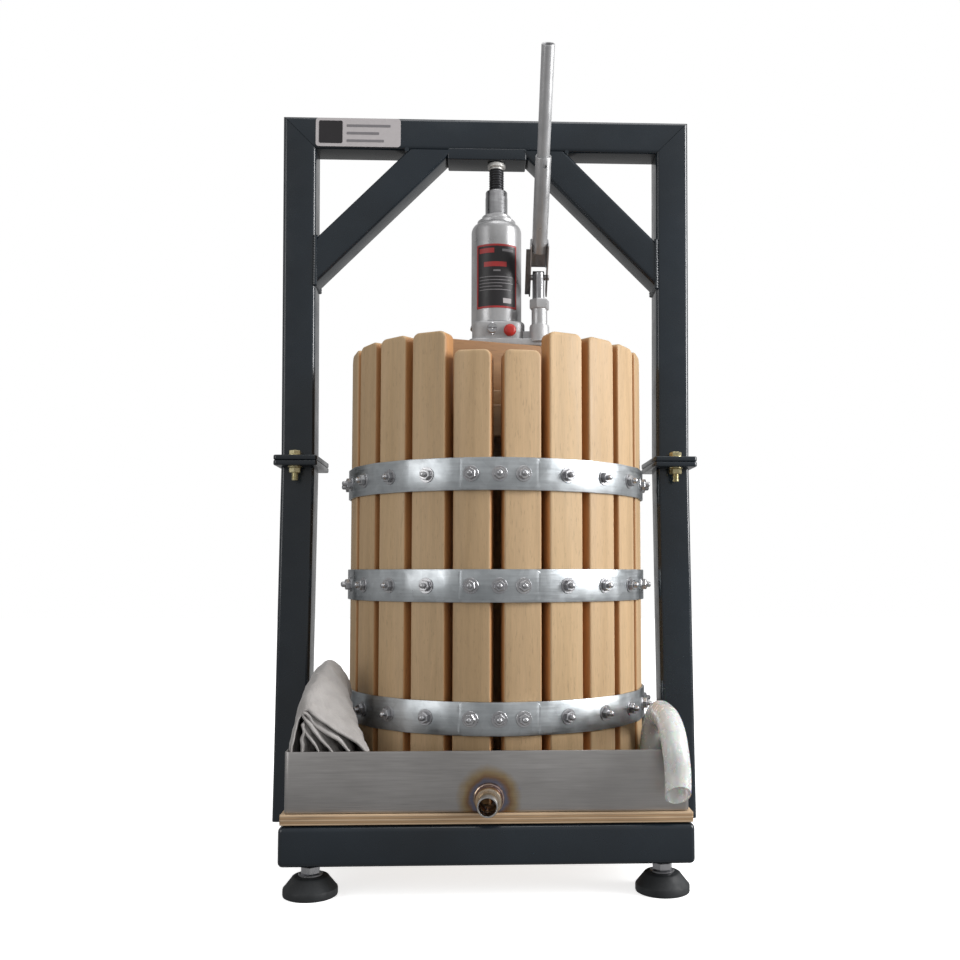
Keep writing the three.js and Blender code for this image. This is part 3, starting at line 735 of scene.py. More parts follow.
# ---- press bag, a folded sheet
# Sections from the back to the front. Each gives its Y, the ridge's X and Z, the X of the
# left side and the X of the right side's foot.
BAG_SECTIONS = [
    (-78, -173, 170, -186, -160), (-84, -173, 205, -196, -152), (-97, -172, 227, -199, -147),
    (-119, -173, 230, -200, -136), (-140, -178, 218, -200, -122), (-160, -183, 203, -200, -112),
    (-178, -186, 188, -200, -104),
]
BAG_FOOT_Z = 90
BAG_RUNS = 5  # layers in the right side, folded back and forth
BAG_ALONG = 44
BAG_ACROSS = 190
CLOTH_THICKNESS = 2.2


def bag_line(y, ridge_x, ridge_z, left, foot_x):
    """One section: up the left side, over the ridge, then down and up through the right side's folds."""
    tall = ridge_z - BAG_FOOT_Z
    reach = foot_x - ridge_x
    outer = [(0, 1), (17, 0.87), (0.66 * reach + 3, 0.6), (0.93 * reach, 0.28), (reach, 0)]
    inner = [(-3, 0.8), (-3, 0.7), (-2, 0.5), (1, 0.25), (4, 0)]
    line = [(left, 0), (left - 0.8, 0.45), (left + 0.25 * (ridge_x - left), 0.84)]
    for order in range(BAG_RUNS):
        share = order / (BAG_RUNS - 1)
        run = []
        for (x0, up0), (x1, up1) in zip(outer, inner):
            run.append((ridge_x + x0 + (x1 - x0) * share, up0 + (up1 - up0) * share))
        line += run if order % 2 == 0 else run[::-1]
    return [Vector((x, y, BAG_FOOT_Z + level * tall)) for x, level in line]


BAG_LINES = [bag_line(*section) for section in BAG_SECTIONS]


def spline(points, share):
    """A point on a smooth line through evenly weighted points, share from 0 to 1."""
    last = len(points) - 1
    place = min(share * last, last - 1e-6)
    index = int(place)
    t = place - index
    p1, p2 = points[index], points[index + 1]
    p0 = points[index - 1] if index else p1 * 2 - p2
    p3 = points[index + 2] if index + 2 <= last else p2 * 2 - p1
    return 0.5 * (2 * p1 + (p2 - p0) * t + (2 * p0 - 5 * p1 + 4 * p2 - p3) * t ** 2
                  + (3 * p1 - p0 - 3 * p2 + p3) * t ** 3)


def bag_point(along, across):
    return spline([spline(line, across) for line in BAG_LINES], along)


def bag_piece():
    """One sheet over the whole section, creased a little across the direction it faces."""
    step = 0.004
    points = []
    for row in range(BAG_ALONG + 1):
        for column in range(BAG_ACROSS + 1):
            u, v = row / BAG_ALONG, column / BAG_ACROSS
            point = bag_point(u, v)
            along = bag_point(min(u + 0.01, 1), v) - bag_point(max(u - 0.01, 0), v)
            across = bag_point(u, min(v + step, 1)) - bag_point(u, max(v - step, 0))
            out = along.cross(across).normalized()
            crease = 0.9 * math.sin(2 * math.pi * (u * 8 + v * 13)) + 2.4 * noise.noise(point * 0.05)
            crease += 1.5 * noise.noise(point * 0.12)
            ragged = Vector((0, 3.5 * noise.noise(Vector((v * 9, 4, 1))) * u ** 6, 0))
            points.append(point + out * crease + ragged)
    count = BAG_ACROSS + 1
    faces = []
    for row in range(BAG_ALONG):
        for column in range(BAG_ACROSS):
            low = row * count + column
            faces.append([low, low + 1, low + count + 1, low + count])
    return make_piece("filter_bag", Shape().add((points, faces)), [CLOTH], 180)


bag = bag_piece()
solid = bag.modifiers.new("cloth", "SOLIDIFY")
solid.thickness = CLOTH_THICKNESS * MM
solid.offset = 0
settle(bag, "frame", "filter_cloth", "press_bag")

# ---- feet
FOOT_PROFILE = [
    (0, 0), (26.6, 0), (27.7, 0.6), (28, 1.8), (28, 6.6), (27.6, 8), (26.6, 9), (19.6, 17.6),
    (18.6, 19), (17.4, 19.8), (15.5, 20), (8, 20), (0, 20),
]
for side, sign_x in SIDES:
    for end, sign_y in ENDS:
        at = Matrix.Translation((sign_x * FOOT_OFFSET, FRAME_Y + sign_y * FOOT_OFFSET, 0))
        foot = Shape().add(lathe(FOOT_PROFILE, 64), at)
        foot.add(soft_disc(12.4, 20, 22, 0.4, 0.4), at, 1)
        turned_nut = at @ Matrix.Rotation(math.radians(17 * sign_x + 8 * sign_y), 4, "Z")
        foot.add(hex_nut(10.5, 22, 8), turned_nut, 1)
        foot.add(threaded(5, 16, 64, 1.5, 0.5), at, 1)
        name = f"foot_{end}_{side}"
        add_piece(f"{name}_look", foot, [BLACK_RUBBER, NUT_METAL], name, "rubber", name, angle=28)


# ---- welded frame
def post_outer(z):
    if z > FLANGE_Z:
        return POST_FLANGE + (z - FLANGE_Z) / (ARCH_TOP - FLANGE_Z) * (POST_TOP - POST_FLANGE)
    return POST_FLANGE + (FLANGE_Z - z) / (FLANGE_Z - BASE_Z) * (POST_FLOOR - POST_FLANGE)


middle_line = BASE_HALF - TUBE / 2
ring_levels = []
for out, up in tube_section():
    reach = middle_line + out
    low, high = (-reach, FRAME_Y - reach), (reach, FRAME_Y + reach)
    ring_levels.append(rounded_rect(low, high, max(1.0, out - HALF + 5), BASE_Z + HALF + up))
base = Shape().add(loft(ring_levels, around=True))
add_piece("base_ring", base, [PAINT], "frame", "frame_paint", "base_frame")

UP = (0, 0, 1)
ACROSS = (1, 0, 0)
FRONT_Y = FRAME_Y - HALF
REAR_Y = FRAME_Y + HALF


def collar(sign, z):
    """The weld bead round a post where it meets a plate."""
    out, inside = sign * (post_outer(z) - 1), sign * (post_outer(z) - TUBE + 1)
    front, rear = FRONT_Y + 1, REAR_Y - 1
    return bead([(out, front, z), (inside, front, z), (inside, rear, z), (out, rear, z), (out, front, z)])


def flange(sign, z0, z1):
    low_x, high_x = sorted(sign * x for x in FLANGE_X)
    low, high = (low_x, FRAME_Y - FLANGE_HALF_DEPTH), (high_x, FRAME_Y + FLANGE_HALF_DEPTH)
    return rounded_block(low, high, 4, z0, z1, 1.4)


for side, sign in SIDES:
    lower = Shape()
    foot_x = sign * (post_outer(BASE_Z) - HALF)
    flange_x = sign * (post_outer(FLANGE_Z) - HALF)
    under = FLANGE_Z - FLANGE_THICKNESS
    lower.add(square_tube((foot_x, FRAME_Y, BASE_Z), (flange_x, FRAME_Y, under + 0.5), (UP, UP)))
    lower.add(flange(sign, under, FLANGE_Z))
    lower.add(collar(sign, under - 0.4))
    edge = sign * (BASE_HALF + 0.6)
    top = BASE_Z + TUBE - 0.5
    for y in (FRONT_Y - 0.4, REAR_Y + 0.4):
        lower.add(bead([(edge, y, BASE_Z + 3), (edge, y, top)]))
    lower.add(bead([(edge, FRONT_Y + 2, top), (edge, REAR_Y - 2, top)]))
    add_piece(f"lower_post_{side}", lower, [PAINT], "frame", "frame_paint", f"post_lower_{side}")

    upper = Shape()
    corner = (sign * (POST_TOP - HALF), FRAME_Y, ARCH_TOP - HALF)
    upper_plate = (FLANGE_Z + GAP, FLANGE_Z + GAP + FLANGE_THICKNESS)
    foot = (flange_x, FRAME_Y, FLANGE_Z + FLANGE_THICKNESS)
    upper.add(square_tube(foot, (corner[0], FRAME_Y, corner[2] - 0.3), (UP, (sign, 0, -1))))
    upper.add(flange(sign, *upper_plate))
    upper.add(collar(sign, upper_plate[1] + 0.4))
    inner = sign * (post_outer(BRACE_LEVEL) - TUBE)
    for y in (FRONT_Y + 0.6, REAR_Y - 0.6):
        upper.add(bead([(inner, y, BRACE_Z[1] + 1), (inner, y, BRACE_Z[0] - 1)]))
    for z in (BRACE_Z[0] + 0.5, BRACE_Z[1] - 0.5):
        upper.add(bead([(inner, FRONT_Y + 1, z), (inner, REAR_Y - 1, z)]))
    add_piece(f"upper_post_{side}", upper, [PAINT], "frame", "frame_paint", f"post_upper_{side}")

    foot_end = post_outer(BRACE_LEVEL) - TUBE
    beam_under = ARCH_TOP - TUBE
    middle_z = (BRACE_Z[0] + BRACE_Z[1]) / 2
    reach = beam_under - middle_z
    brace_foot = (sign * foot_end, FRAME_Y, middle_z)
    brace_top = (sign * (foot_end - reach), FRAME_Y, beam_under)
    brace = Shape().add(square_tube(brace_foot, brace_top, (ACROSS, UP)))
    outer_edge = sign * (foot_end - (beam_under - BRACE_Z[1]))
    inner_edge = sign * (BEARING_HALF + 1)
    for y in (FRONT_Y + 0.6, REAR_Y - 0.6):
        brace.add(bead([(outer_edge, y, beam_under), (inner_edge, y, beam_under)]))
        brace.add(bead([(outer_edge, y, beam_under), (outer_edge, FRAME_Y, beam_under)]))
    add_piece(f"corner_brace_{side}", brace, [PAINT], "frame", "frame_paint", f"brace_{side}")

beam = Shape()
corner_x = POST_TOP - HALF - 0.3
beam.add(square_tube((-corner_x, FRAME_Y, ARCH_TOP - HALF), (corner_x, FRAME_Y, ARCH_TOP - HALF),
                     ((1, 0, 1), (1, 0, -1))))
beam.add(rounded_block((-BEARING_HALF, FRONT_Y + 0.5), (BEARING_HALF, REAR_Y - 0.5), 2, BEARING_Z,
                       ARCH_TOP - TUBE + 3, 1.5))
for y in (FRONT_Y + 1, REAR_Y - 1):
    beam.add(bead([(-BEARING_HALF, y, ARCH_TOP - TUBE), (BEARING_HALF, y, ARCH_TOP - TUBE)]))
add_piece("top_beam", beam, [PAINT], "frame", "frame_paint", "crossbeam")


def sticker_material(name, color):
    """Film for the blank nameplate and the jack's label."""
    m = Nodes(name, 0.4)
    darker = tuple(c * 0.86 for c in color)
    m.color(m.mix(m.noise(180, 4), darker, color))
    m.rough(m.span(m.noise(60, 3), 0.32, 0.5))
    m.bump(m.noise(240, 2), 0.06, 0.0002)
    return m.material


LABEL_PALE = sticker_material("label_pale", (0.5, 0.47, 0.475))
LABEL_DARK = sticker_material("label_dark", (0.014, 0.012, 0.014))
LABEL_RED = sticker_material("label_red", (0.42, 0.03, 0.03))
LABEL_GREY = sticker_material("label_grey", (0.2, 0.19, 0.2))


def front_panel(x0, x1, z0, z1, y, radius):
    """A thin plate facing the front."""
    ring = rounded_rect((x0, z0), (x1, z1), radius, 0)
    return loft([[(x, y, z) for x, z, _ in ring], [(x, y + 0.5, z) for x, z, _ in ring]])


# A blank nameplate on the crossbeam: a pale panel with one dark square and a few plain bars.
PLATE_X = (-211.5, -107)
PLATE_Z = (853.5, 889.5)
plate = Shape().add(front_panel(*PLATE_X, *PLATE_Z, FRONT_Y - 0.4, 4))
square = front_panel(PLATE_X[0] + 4, PLATE_X[0] + 33, PLATE_Z[0] + 4, PLATE_Z[1] - 3.5, FRONT_Y - 0.6, 2)
plate.add(square, slot=1)
for row, (start, end) in enumerate(((38, 92), (38, 78), (38, 84))):
    level = PLATE_Z[1] - 8 - row * 9.5
    bar = front_panel(PLATE_X[0] + start, PLATE_X[0] + end, level - 3.2, level, FRONT_Y - 0.6, 1)
    plate.add(bar, slot=2)
add_piece("nameplate", plate, [LABEL_PALE, LABEL_DARK, LABEL_GREY], "frame", "frame_paint")

# Flange bolts, standing head up, with a washer above and a nut below.
bolt_x = POST_FLANGE - HALF
for side, sign in SIDES:
    for end, sign_y in ENDS:
        place = (sign * bolt_x, FRAME_Y + sign_y * BOLT_Y, 0)
        at = turned(place, math.radians(11 * sign + 19 * sign_y))
        top = FLANGE_Z + GAP + FLANGE_THICKNESS
        washer = 1.5
        bolt = Shape().add(soft_disc(8.4, top, top + washer, 0.4, 0.3), at)
        bolt.add(hex_nut(7.2, top + washer, 5), at)
        nut_height = 6.5
        nut_top = FLANGE_Z - FLANGE_THICKNESS - washer
        nut_z = nut_top - nut_height
        lower_washer = [(0, 0), (8, 0), (8.4, 0.3), (8.4, 1.1), (8, washer), (0, washer)]
        bolt.add(lathe(lower_washer), at @ Matrix.Translation((0, 0, nut_top)))
        bolt.add(hex_nut(7.2, nut_z, nut_height), at)
        bolt.add(threaded(4, nut_z - 9, nut_z + 2, 1.25, 0.45), at)
        name = f"flange_bolt_{end}_{side}"
        add_piece(f"{name}_look", bolt, [YELLOW_ZINC], "frame", "zinc", name, angle=28)

# ---- board, tray and spout
board = Shape().add(rounded_block(
    (-BOARD_HALF, FRAME_Y - BOARD_HALF), (BOARD_HALF, FRAME_Y + BOARD_HALF), 1.5, *BOARD_Z, 0.5,
))
add_piece("ply_board", board, [PLYWOOD], "frame", "plywood", "base_board")

tray_low = (-TRAY_HALF, FRAME_Y - TRAY_HALF)
tray_high = (TRAY_HALF, FRAME_Y + TRAY_HALF)
tray_levels = [
    (TRAY_Z, 1.6), (TRAY_Z + 0.5, 0.5), (TRAY_Z + 1.7, 0), (TRAY_TOP - 1.1, 0), (TRAY_TOP - 0.3, 0.25),
    (TRAY_TOP, 0.8), (TRAY_TOP, 1.3), (TRAY_TOP - 0.4, 1.8), (TRAY_TOP - 1.4, 2), (TRAY_FLOOR + 4, 2),
    (TRAY_FLOOR + 1.7, 2.5), (TRAY_FLOOR + 0.5, 4), (TRAY_FLOOR, 7),
]
tray_rings = [rounded_rect(tray_low, tray_high, 5, z, inset, 6) for z, inset in tray_levels]
tray = make_piece("tray", Shape().add(loft(tray_rings)), [STAINLESS], 50)
spout_turn = turned(SPOUT_AT, -SPOUT_TILT) @ Matrix.Rotation(math.pi / 2 + SPOUT_TILT, 4, "X")
carve(tray, lathe([(0, -12), (SPOUT_BORE, -12), (SPOUT_BORE, 12), (0, 12)], 40), spout_turn)
settle(tray, "frame", "stainless", "drip_tray")

spout_profile = [
    (SPOUT_BORE, -0.2), (14.6, -0.2), (14.2, 1.2), (13.5, 2.4), (13.5, 12), (13.1, 12.8), (12.3, 13),
    (10.7, 13.1), (10.5, 14), (10.5, 30.4), (10.2, 31), (9.1, 31), (8.8, 30.6), (SPOUT_BORE, -0.2),
]
spout = Shape().add(lathe(spout_profile, 56), spout_turn)
weld = circle(14.4, 0.8, 40)
weld_line = [spout_turn @ Vector(point) for point in weld + weld[:1]]
spout.add(sweep(weld_line, [1.3 + 0.18 * math.cos(index * 2.1) for index in range(41)], 8))
add_piece("spout_pipe", spout, [spout_material()], "frame", "stainless", "spout", angle=40)

# ---- basket
STAVE_INSETS = [(0, 2.6), (0.35, 1.5), (1.0, 0.7), (2.2, 0.15), (3.4, 0), (18, 0), (19.3, 0.4), (20, 1.4)]


def stave_outline(depth, inset, length):
    half = STAVE_WIDTH / 2 - inset
    low, high = STAVE_Z + inset * 0.4, STAVE_Z + length - inset
    r = 8 - inset * 0.5
    ring = [(-half, low), (half, low)]
    ring += quarter_turns([(half - r, high - r, r, 0), (-half + r, high - r, r, 1)], 7)
    return [(x, -APOTHEM + depth, z) for x, z in ring]


def stave_angle(index):
    return (index + 0.5) * STAVE_STEP + STAVE_DRIFT.get(index + 1, 0)


def tone_of(index):
    """A repeatable value from 0 to 1 for each stave."""
    return (math.sin(index * 12.9898) * 43758.5453) % 1.0


for index in range(STAVE_COUNT):
    number = f"{index + 1:02d}"
    length = SHORT_STAVE_LENGTH if index in FRONT_STAVES else STAVE_LENGTH
    rings = [stave_outline(depth, inset, length) for depth, inset in STAVE_INSETS]
    piece = make_piece(f"basket_stave_{number}", Shape().add(loft(rings)), [STAVE_WOOD], 50)
    tones = piece.data.attributes.new("tone", "FLOAT_VECTOR", "POINT")
    tone = (tone_of(index + 1), tone_of(index + 31), tone_of(index + 61))
    tones.data.foreach_set("vector", tone * len(piece.data.vertices))
    piece.location = (AXIS[0] * MM, AXIS[1] * MM, 0)
    piece.rotation_euler = (0, 0, math.radians(stave_angle(index)))
    settle(piece, "frame", "stave_wood", f"stave_{number}")


def band_section(point, outward, half_width, z):
    soft = 0.7
    ring = rounded_rect((0, -half_width), (HOOP_THICKNESS, half_width), soft, 0, segments=2)
    return [(point.x + outward.x * a, point.y + outward.y * a, z + b) for a, b, _ in ring]


def hoop_band(z):
    """The hoop's strip, bent at both edges of every stave."""
    half_turn = math.atan(STAVE_WIDTH / 2 / APOTHEM)
    radius = (APOTHEM + GAP) / math.cos(half_turn)
    rings = []
    for index in range(STAVE_COUNT):
        for side in (-1, 1):
            turn = math.radians(stave_angle(index) - 90) + side * half_turn
            outward = Vector((math.cos(turn), math.sin(turn), 0))
            point = Vector((*AXIS, 0)) + outward * radius
            rings.append(band_section(point, outward, HOOP_WIDTH / 2, z))
    return loft(rings, around=True)


def hoop_lap(z):
    """The second layer at the front, where the band's ends overlap, with rounded corners."""
    half = [(43, 5), (42.2, 3), (40.6, 1.2), (38, 0), (24, 0), (6, 0)]
    stops = [(-x, less) for x, less in half] + [(0, 0)] + half[::-1]
    rings = []
    tilt = math.radians(STAVE_STEP / 2)
    offset = APOTHEM + GAP + HOOP_THICKNESS
    knee = offset * math.tan(tilt / 2) * 0.35
    for x, less in stops:
        away = max(0.0, abs(x) - knee)
        lean = math.copysign(1, x) * tilt if away else 0.0
        front = -(offset / math.cos(tilt) - 1.4) + away * math.tan(tilt)
        point = Vector((AXIS[0] + x, AXIS[1] + front, 0))
        outward = Vector((math.sin(lean), -math.cos(lean), 0))
        rings.append(band_section(point, outward, HOOP_WIDTH / 2 - less, z))
    return loft(rings)


def fastener(angle, radius, z, roll):
    """Washer, nut and rounded bolt tip outside a stave, and a domed head inside it."""
    turn = turned((*AXIS, z), math.radians(angle)) @ turned((0, -radius, 0), math.pi / 2, "X")
    rolled = turn @ Matrix.Rotation(math.radians(roll), 4, "Z")
    tip = [(0, 6), (3, 6), (3, 9.2), (2.7, 10.3), (1.9, 11), (0.9, 11.3), (0, 11.3)]
    head = [(0, -3), (3.4, -2.8), (5.8, -2), (7.2, -0.8), (7.4, 0.3), (0, 0.3)]
    inside = turn @ Matrix.Translation((0, 0, APOTHEM - STAVE_THICKNESS - radius))
    return [
        (soft_disc(8.5, -0.4, 1.2, 0.3, 0.3, 32), turn), (hex_nut(6.2, 1.2, 5), rolled),
        (lathe(tip, 20), turn), (lathe(head, 28), inside),
    ]


for name, z in HOOP_LEVELS.items():
    hoop = Shape().add(hoop_band(z)).add(hoop_lap(z))
    outside = APOTHEM + GAP + HOOP_THICKNESS
    for index in range(STAVE_COUNT):
        angle = stave_angle(index)
        radius = outside + (HOOP_THICKNESS if index in FRONT_STAVES else 0)
        for part, matrix in fastener(angle, radius, z, 60 * tone_of(index + z)):
            hoop.add(part, matrix, 1)
    for part, matrix in fastener(0, outside + HOOP_THICKNESS - 0.2, z, 20)[:3]:
        hoop.add(part, matrix, 1)
    add_piece(f"{name}_look", hoop, [HOOP_METAL, NUT_METAL], "frame", "galvanised", name, angle=30)

# ---- press blocks
at_axis = Matrix.Translation((*AXIS, 0))
disc = Shape().add(lathe([
    (0, DISC_Z[0]), (DISC_RADIUS - 2, DISC_Z[0]), (DISC_RADIUS - 0.6, DISC_Z[0] + 0.6),
    (DISC_RADIUS, DISC_Z[0] + 2), (DISC_RADIUS, DISC_Z[1] - 2), (DISC_RADIUS - 0.6, DISC_Z[1] - 0.6),
    (DISC_RADIUS - 2, DISC_Z[1]), (0, DISC_Z[1]),
], 96), at_axis)
add_piece("pressing_disc", disc, [DISC_WOOD], "press", "beech", "press_disc", angle=50)

press_board = Shape().add(
    rounded_block((-BOARD_X, -BOARD_Y), (BOARD_X, BOARD_Y), 3, *PRESS_BOARD_Z, 2), at_axis,
)
add_piece("pressing_board", press_board, [DISC_WOOD], "press", "beech", "press_board")
block = Shape().add(rounded_block((-BLOCK_X, -BLOCK_Y), (BLOCK_X, BLOCK_Y), 3, *BLOCK_Z, 2))
block_piece = make_piece("pressing_block", block, [BLOCK_WOOD])
block_piece.matrix_world = turned((AXIS[0] * MM, AXIS[1] * MM, 0), BLOCK_TURN)
settle(block_piece, "press", "beech", "press_block")

# ---- bottle jack
PLATE_TOP = JACK_Z + 9.5
BODY_TOP = JACK_Z + 31.5
body_front = -28
cast = Shape()
cast.add(rounded_block((-22, -32), (74, 48), 12, JACK_Z, PLATE_TOP, 2))
cast.add(rounded_block((-18, body_front), (46, 42), 14, PLATE_TOP - 4, BODY_TOP, 3))
cast.add(rounded_block((40, -22), (68, 10), 6, PLATE_TOP - 4, PLATE_TOP + 11, 2))
at_pump = Matrix.Translation((*PUMP, 0))
cast.add(lathe([
    (0, PLATE_TOP - 4), (12.6, PLATE_TOP - 4), (12, PLATE_TOP + 3), (12, JACK_Z + 24),
    (11.2, JACK_Z + 26.4), (9.8, JACK_Z + 27), (0, JACK_Z + 27),
]), at_pump)
cast.add(lathe([
    (6.1, JACK_Z + 26), (9.5, JACK_Z + 26), (9.5, JACK_Z + 46.2), (6.1, JACK_Z + 46.2), (6.1, JACK_Z + 26),
]), at_pump, 1)
cast.add(ring_nut(12.2, 6.1, JACK_Z + 46, 12), at_pump @ Matrix.Rotation(math.radians(12), 4, "Z"), 2)
cast.add(lathe([(0, BODY_TOP - 3), (TANK_RADIUS + 1.4, BODY_TOP - 3), (TANK_RADIUS + 1, BODY_TOP - 0.2),
                (TANK_RADIUS - 1, BODY_TOP + 0.1), (0, BODY_TOP + 0.1)], 72), at_axis)
add_piece("jack_casting", cast, [CAST_SILVER, SILVER, SILVER], "press", "jack_paint", "jack_base")

NECK_TOP = JACK_Z + 171
ram_bore = 14.1
neck = [  # radius, and how far below the neck's top
    (31, 21.5), (30.7, 19), (29.7, 16.3), (28.2, 14), (26, 12.4), (23.2, 11.9), (23, 11.4),
    (23.7, 10.6), (23.7, 7.4), (23, 6.6), (19.4, 5), (18.3, 4), (18, 1), (17, 0), (15.2, 0),
]
tank_profile = [(0, BODY_TOP + 0.3), (30.2, BODY_TOP + 0.3), (31, BODY_TOP + 1.4)]
tank_profile += [(radius, NECK_TOP - below) for radius, below in neck]
tank_profile += [(ram_bore, NECK_TOP - 1), (ram_bore, JACK_Z + 37), (0, JACK_Z + 37)]
tank = Shape().add(lathe(tank_profile, 96), at_axis)
add_piece("jack_reservoir", tank, [SILVER], "press", "jack_paint", "jack_tank")


def curved_patch(radius, from_angle, to_angle, z0, z1):
    """A thin patch on the reservoir. Angles are in degrees to the right of the front."""
    steps = max(2, round(abs(to_angle - from_angle) / 4))
    low, high = Vector((0, 0, z0)), Vector((0, 0, z1))
    rings = []
    for step in range(steps + 1):
        angle = math.radians(from_angle + (to_angle - from_angle) * step / steps - 90)
        direction = Vector((math.cos(angle), math.sin(angle), 0))
        near, far = direction * (radius - 0.3), direction * radius
        rings.append([near + low, far + low, far + high, near + high])
    return loft(rings)


LABEL = (649, 728)
LABEL_IN = (LABEL[0] + 2.4, LABEL[1] - 2.4)  # inside its red border
label = Shape().add(curved_patch(TANK_RADIUS + 0.25, -50, 50, *LABEL), at_axis)
for start, end, low, high, ink in (
    (-50, 50, LABEL[0], LABEL_IN[0], 1), (-50, 50, LABEL_IN[1], LABEL[1], 1),
    (-50, -46, *LABEL_IN, 1), (46, 50, *LABEL_IN, 1),
    (-42, -6, 717, 723, 1), (12, 40, 719, 722, 3), (-30, 22, 700, 706, 1), (-8, 8, 694, 696, 3),
    (-42, 38, 687, 688, 3), (-42, 30, 683, 684, 3), (-42, 38, 679, 680, 3), (-42, 12, 675, 676, 3),
    (-42, 34, 671, 672, 3), (14, 34, 655, 661, 2),
):
    label.add(curved_patch(TANK_RADIUS + 0.4, start, end, low, high), at_axis, ink)
inks = [LABEL_DARK, LABEL_RED, LABEL_PALE, LABEL_GREY]
add_piece("reservoir_label", label, inks, "press", "jack_paint")

ram = Shape().add(lathe([
    (0, RAM_Z[0]), (13.2, RAM_Z[0]), (13.8, RAM_Z[0] + 0.6), (13.8, RAM_Z[1] - 9), (13.5, RAM_Z[1] - 8.4),
    (13.5, RAM_Z[1] - 2), (13, RAM_Z[1] - 1), (12, RAM_Z[1] - 0.4), (10.2, RAM_Z[1]), (9.5, RAM_Z[1]),
    (9.5, 740), (0, 740),
], 64), at_axis)
add_piece("ram_rod", ram, [STEEL], "ram", "steel", "jack_ram")

screw = Shape().add(threaded(9.2, *SCREW_Z, 3.1, 1.2, 40), at_axis)
saddle = [
    (0, -8.6), (8.2, -8.6), (8.2, -5.9), (10.2, -5.9), (11, -5.2), (11, -2.2), (10.3, -0.7),
    (8.2, 0), (0, 0),
]
screw.add(lathe(saddle, 48), at_axis @ Matrix.Translation((0, 0, SADDLE_TOP)), 1)
add_piece("extension_screw", screw, [BLACK_STEEL, SADDLE_STEEL], "screw", "black_steel", "jack_screw")

piston = Shape().add(lathe([
    (0, PISTON_Z[0]), (5.2, PISTON_Z[0]), (5.75, PISTON_Z[0] + 0.5), (5.75, PISTON_Z[1] - 10.4),
    (5.2, PISTON_Z[1] - 9.4), (5.2, PISTON_Z[1] - 1.9), (4, PISTON_Z[1] - 0.4), (0, PISTON_Z[1]),
], 40), at_pump)
add_piece("pump_rod", piston, [STEEL], "piston", "steel", "pump_piston")


def side_plate(x0, x1, y0, y1, z0, z1, radius):
    """An upright plate with rounded upper corners, facing along X."""
    ring = four_corners(y0, y1, z0, z1, 1.5, radius)
    rings = []
    for x, inset in ((x0, 0.4), (x0 + 0.4, 0), (x1 - 0.4, 0), (x1, 0.4)):
        middle_y, middle_z = (y0 + y1) / 2, (z0 + z1) / 2
        rings.append([
            (x, y - math.copysign(inset, y - middle_y), z - math.copysign(inset, z - middle_z))
            for y, z in ring
        ])
    return loft(rings)


# The link plate takes the darker link steel: painted shade.
link = Shape().add(side_plate(56.5, 70.5, -11, 1, PLATE_TOP + 11.8, 699.5, 5.5))
pin_turn = turned((63.5, PIVOT[1], PIVOT[2]), math.pi / 2, "Y")
link.add(soft_disc(3.5, -13, 13, 0.5, 0.5, 32), pin_turn, 1)
add_piece("link_bar", link, [SHADED_LINK_STEEL, NUT_METAL], "press", "black_steel", "jack_link")

lean = turned(PIVOT, math.radians(HANDLE_LEAN), "X")
SOCKET_LOW, SOCKET_HIGH = -22, 46
SOCKET_HALF, SOCKET_SHEET = 11, 1.4


def channel_outline():
    """Cross-section of the folded socket: two cheeks joined by a web at the back."""
    front = -12
    back = 11.5
    web = back - SOCKET_SHEET
    inner = SOCKET_HALF - SOCKET_SHEET
    outer = [(-SOCKET_HALF, front), (-SOCKET_HALF, back - 3)]
    outer += [(-SOCKET_HALF + 1, back - 1), (-SOCKET_HALF + 3, back)]
    outer += [(-x, y) for x, y in outer[::-1]]
    inside = [(inner, front), (inner, web - 2), (inner - 0.7, web - 0.7), (inner - 2, web)]
    inside += [(-x, y) for x, y in inside[::-1]]
    return outer + inside


socket_levels = (9.2, SOCKET_HIGH - 0.3)
socket = Shape().add(loft([[(x, y, z) for x, y in channel_outline()] for z in socket_levels]), lean)
# The fork's cheeks at the pin and its lip take the darker link steel, painted shade, while the rest of the
# fork is silver.
cheek = four_corners(-12, 5, SOCKET_LOW, 9.4, 5, 0.6)  # the fork's side at the pin
for sign in (-1, 1):
    low_x, high_x = sorted((sign * SOCKET_HALF, sign * (SOCKET_HALF - SOCKET_SHEET)))
    socket.add(loft([[(x, y, z) for y, z in cheek] for x in (low_x, high_x)]), lean, 1)
lip = rounded_block((-16.5, -12), (-10.8, -10.6), 0.6, SOCKET_LOW + 5, SOCKET_HIGH - 4, 0.5)
socket.add(lip, lean, 1)
add_piece("handle_fork", socket, [SILVER, SHADED_LINK_STEEL], "socket", "jack_paint", "handle_socket")


def pipe(bore, radius, z0, z1, lip):
    """An open pipe with small chamfers, the outer one at its upper end as wide as the lip."""
    return lathe([
        (bore, z0), (radius - 0.3, z0), (radius, z0 + 0.4), (radius, z1 - 0.7), (radius - lip, z1),
        (bore + 0.4, z1), (bore, z1 - 0.5), (bore, z0),
    ])


lower_tube = Shape().add(pipe(7.6, 9.2, *LOWER_TUBE, 0.4), lean)
lower_piece = make_piece("lower_tube", lower_tube, [SILVER])
carve(lower_piece, lathe([(0, -14), (2.3, -14), (2.3, 14), (0, 14)], 20),
      lean @ turned((1.5, -9, 141), math.pi / 2, "X"))
settle(lower_piece, "lower_handle", "jack_paint", "handle_lower")

upper_tube = Shape().add(pipe(5.6, 7.3, *UPPER_TUBE, 0.3), lean)
add_piece("upper_tube", upper_tube, [SILVER], "upper_handle", "jack_paint", "handle_upper")

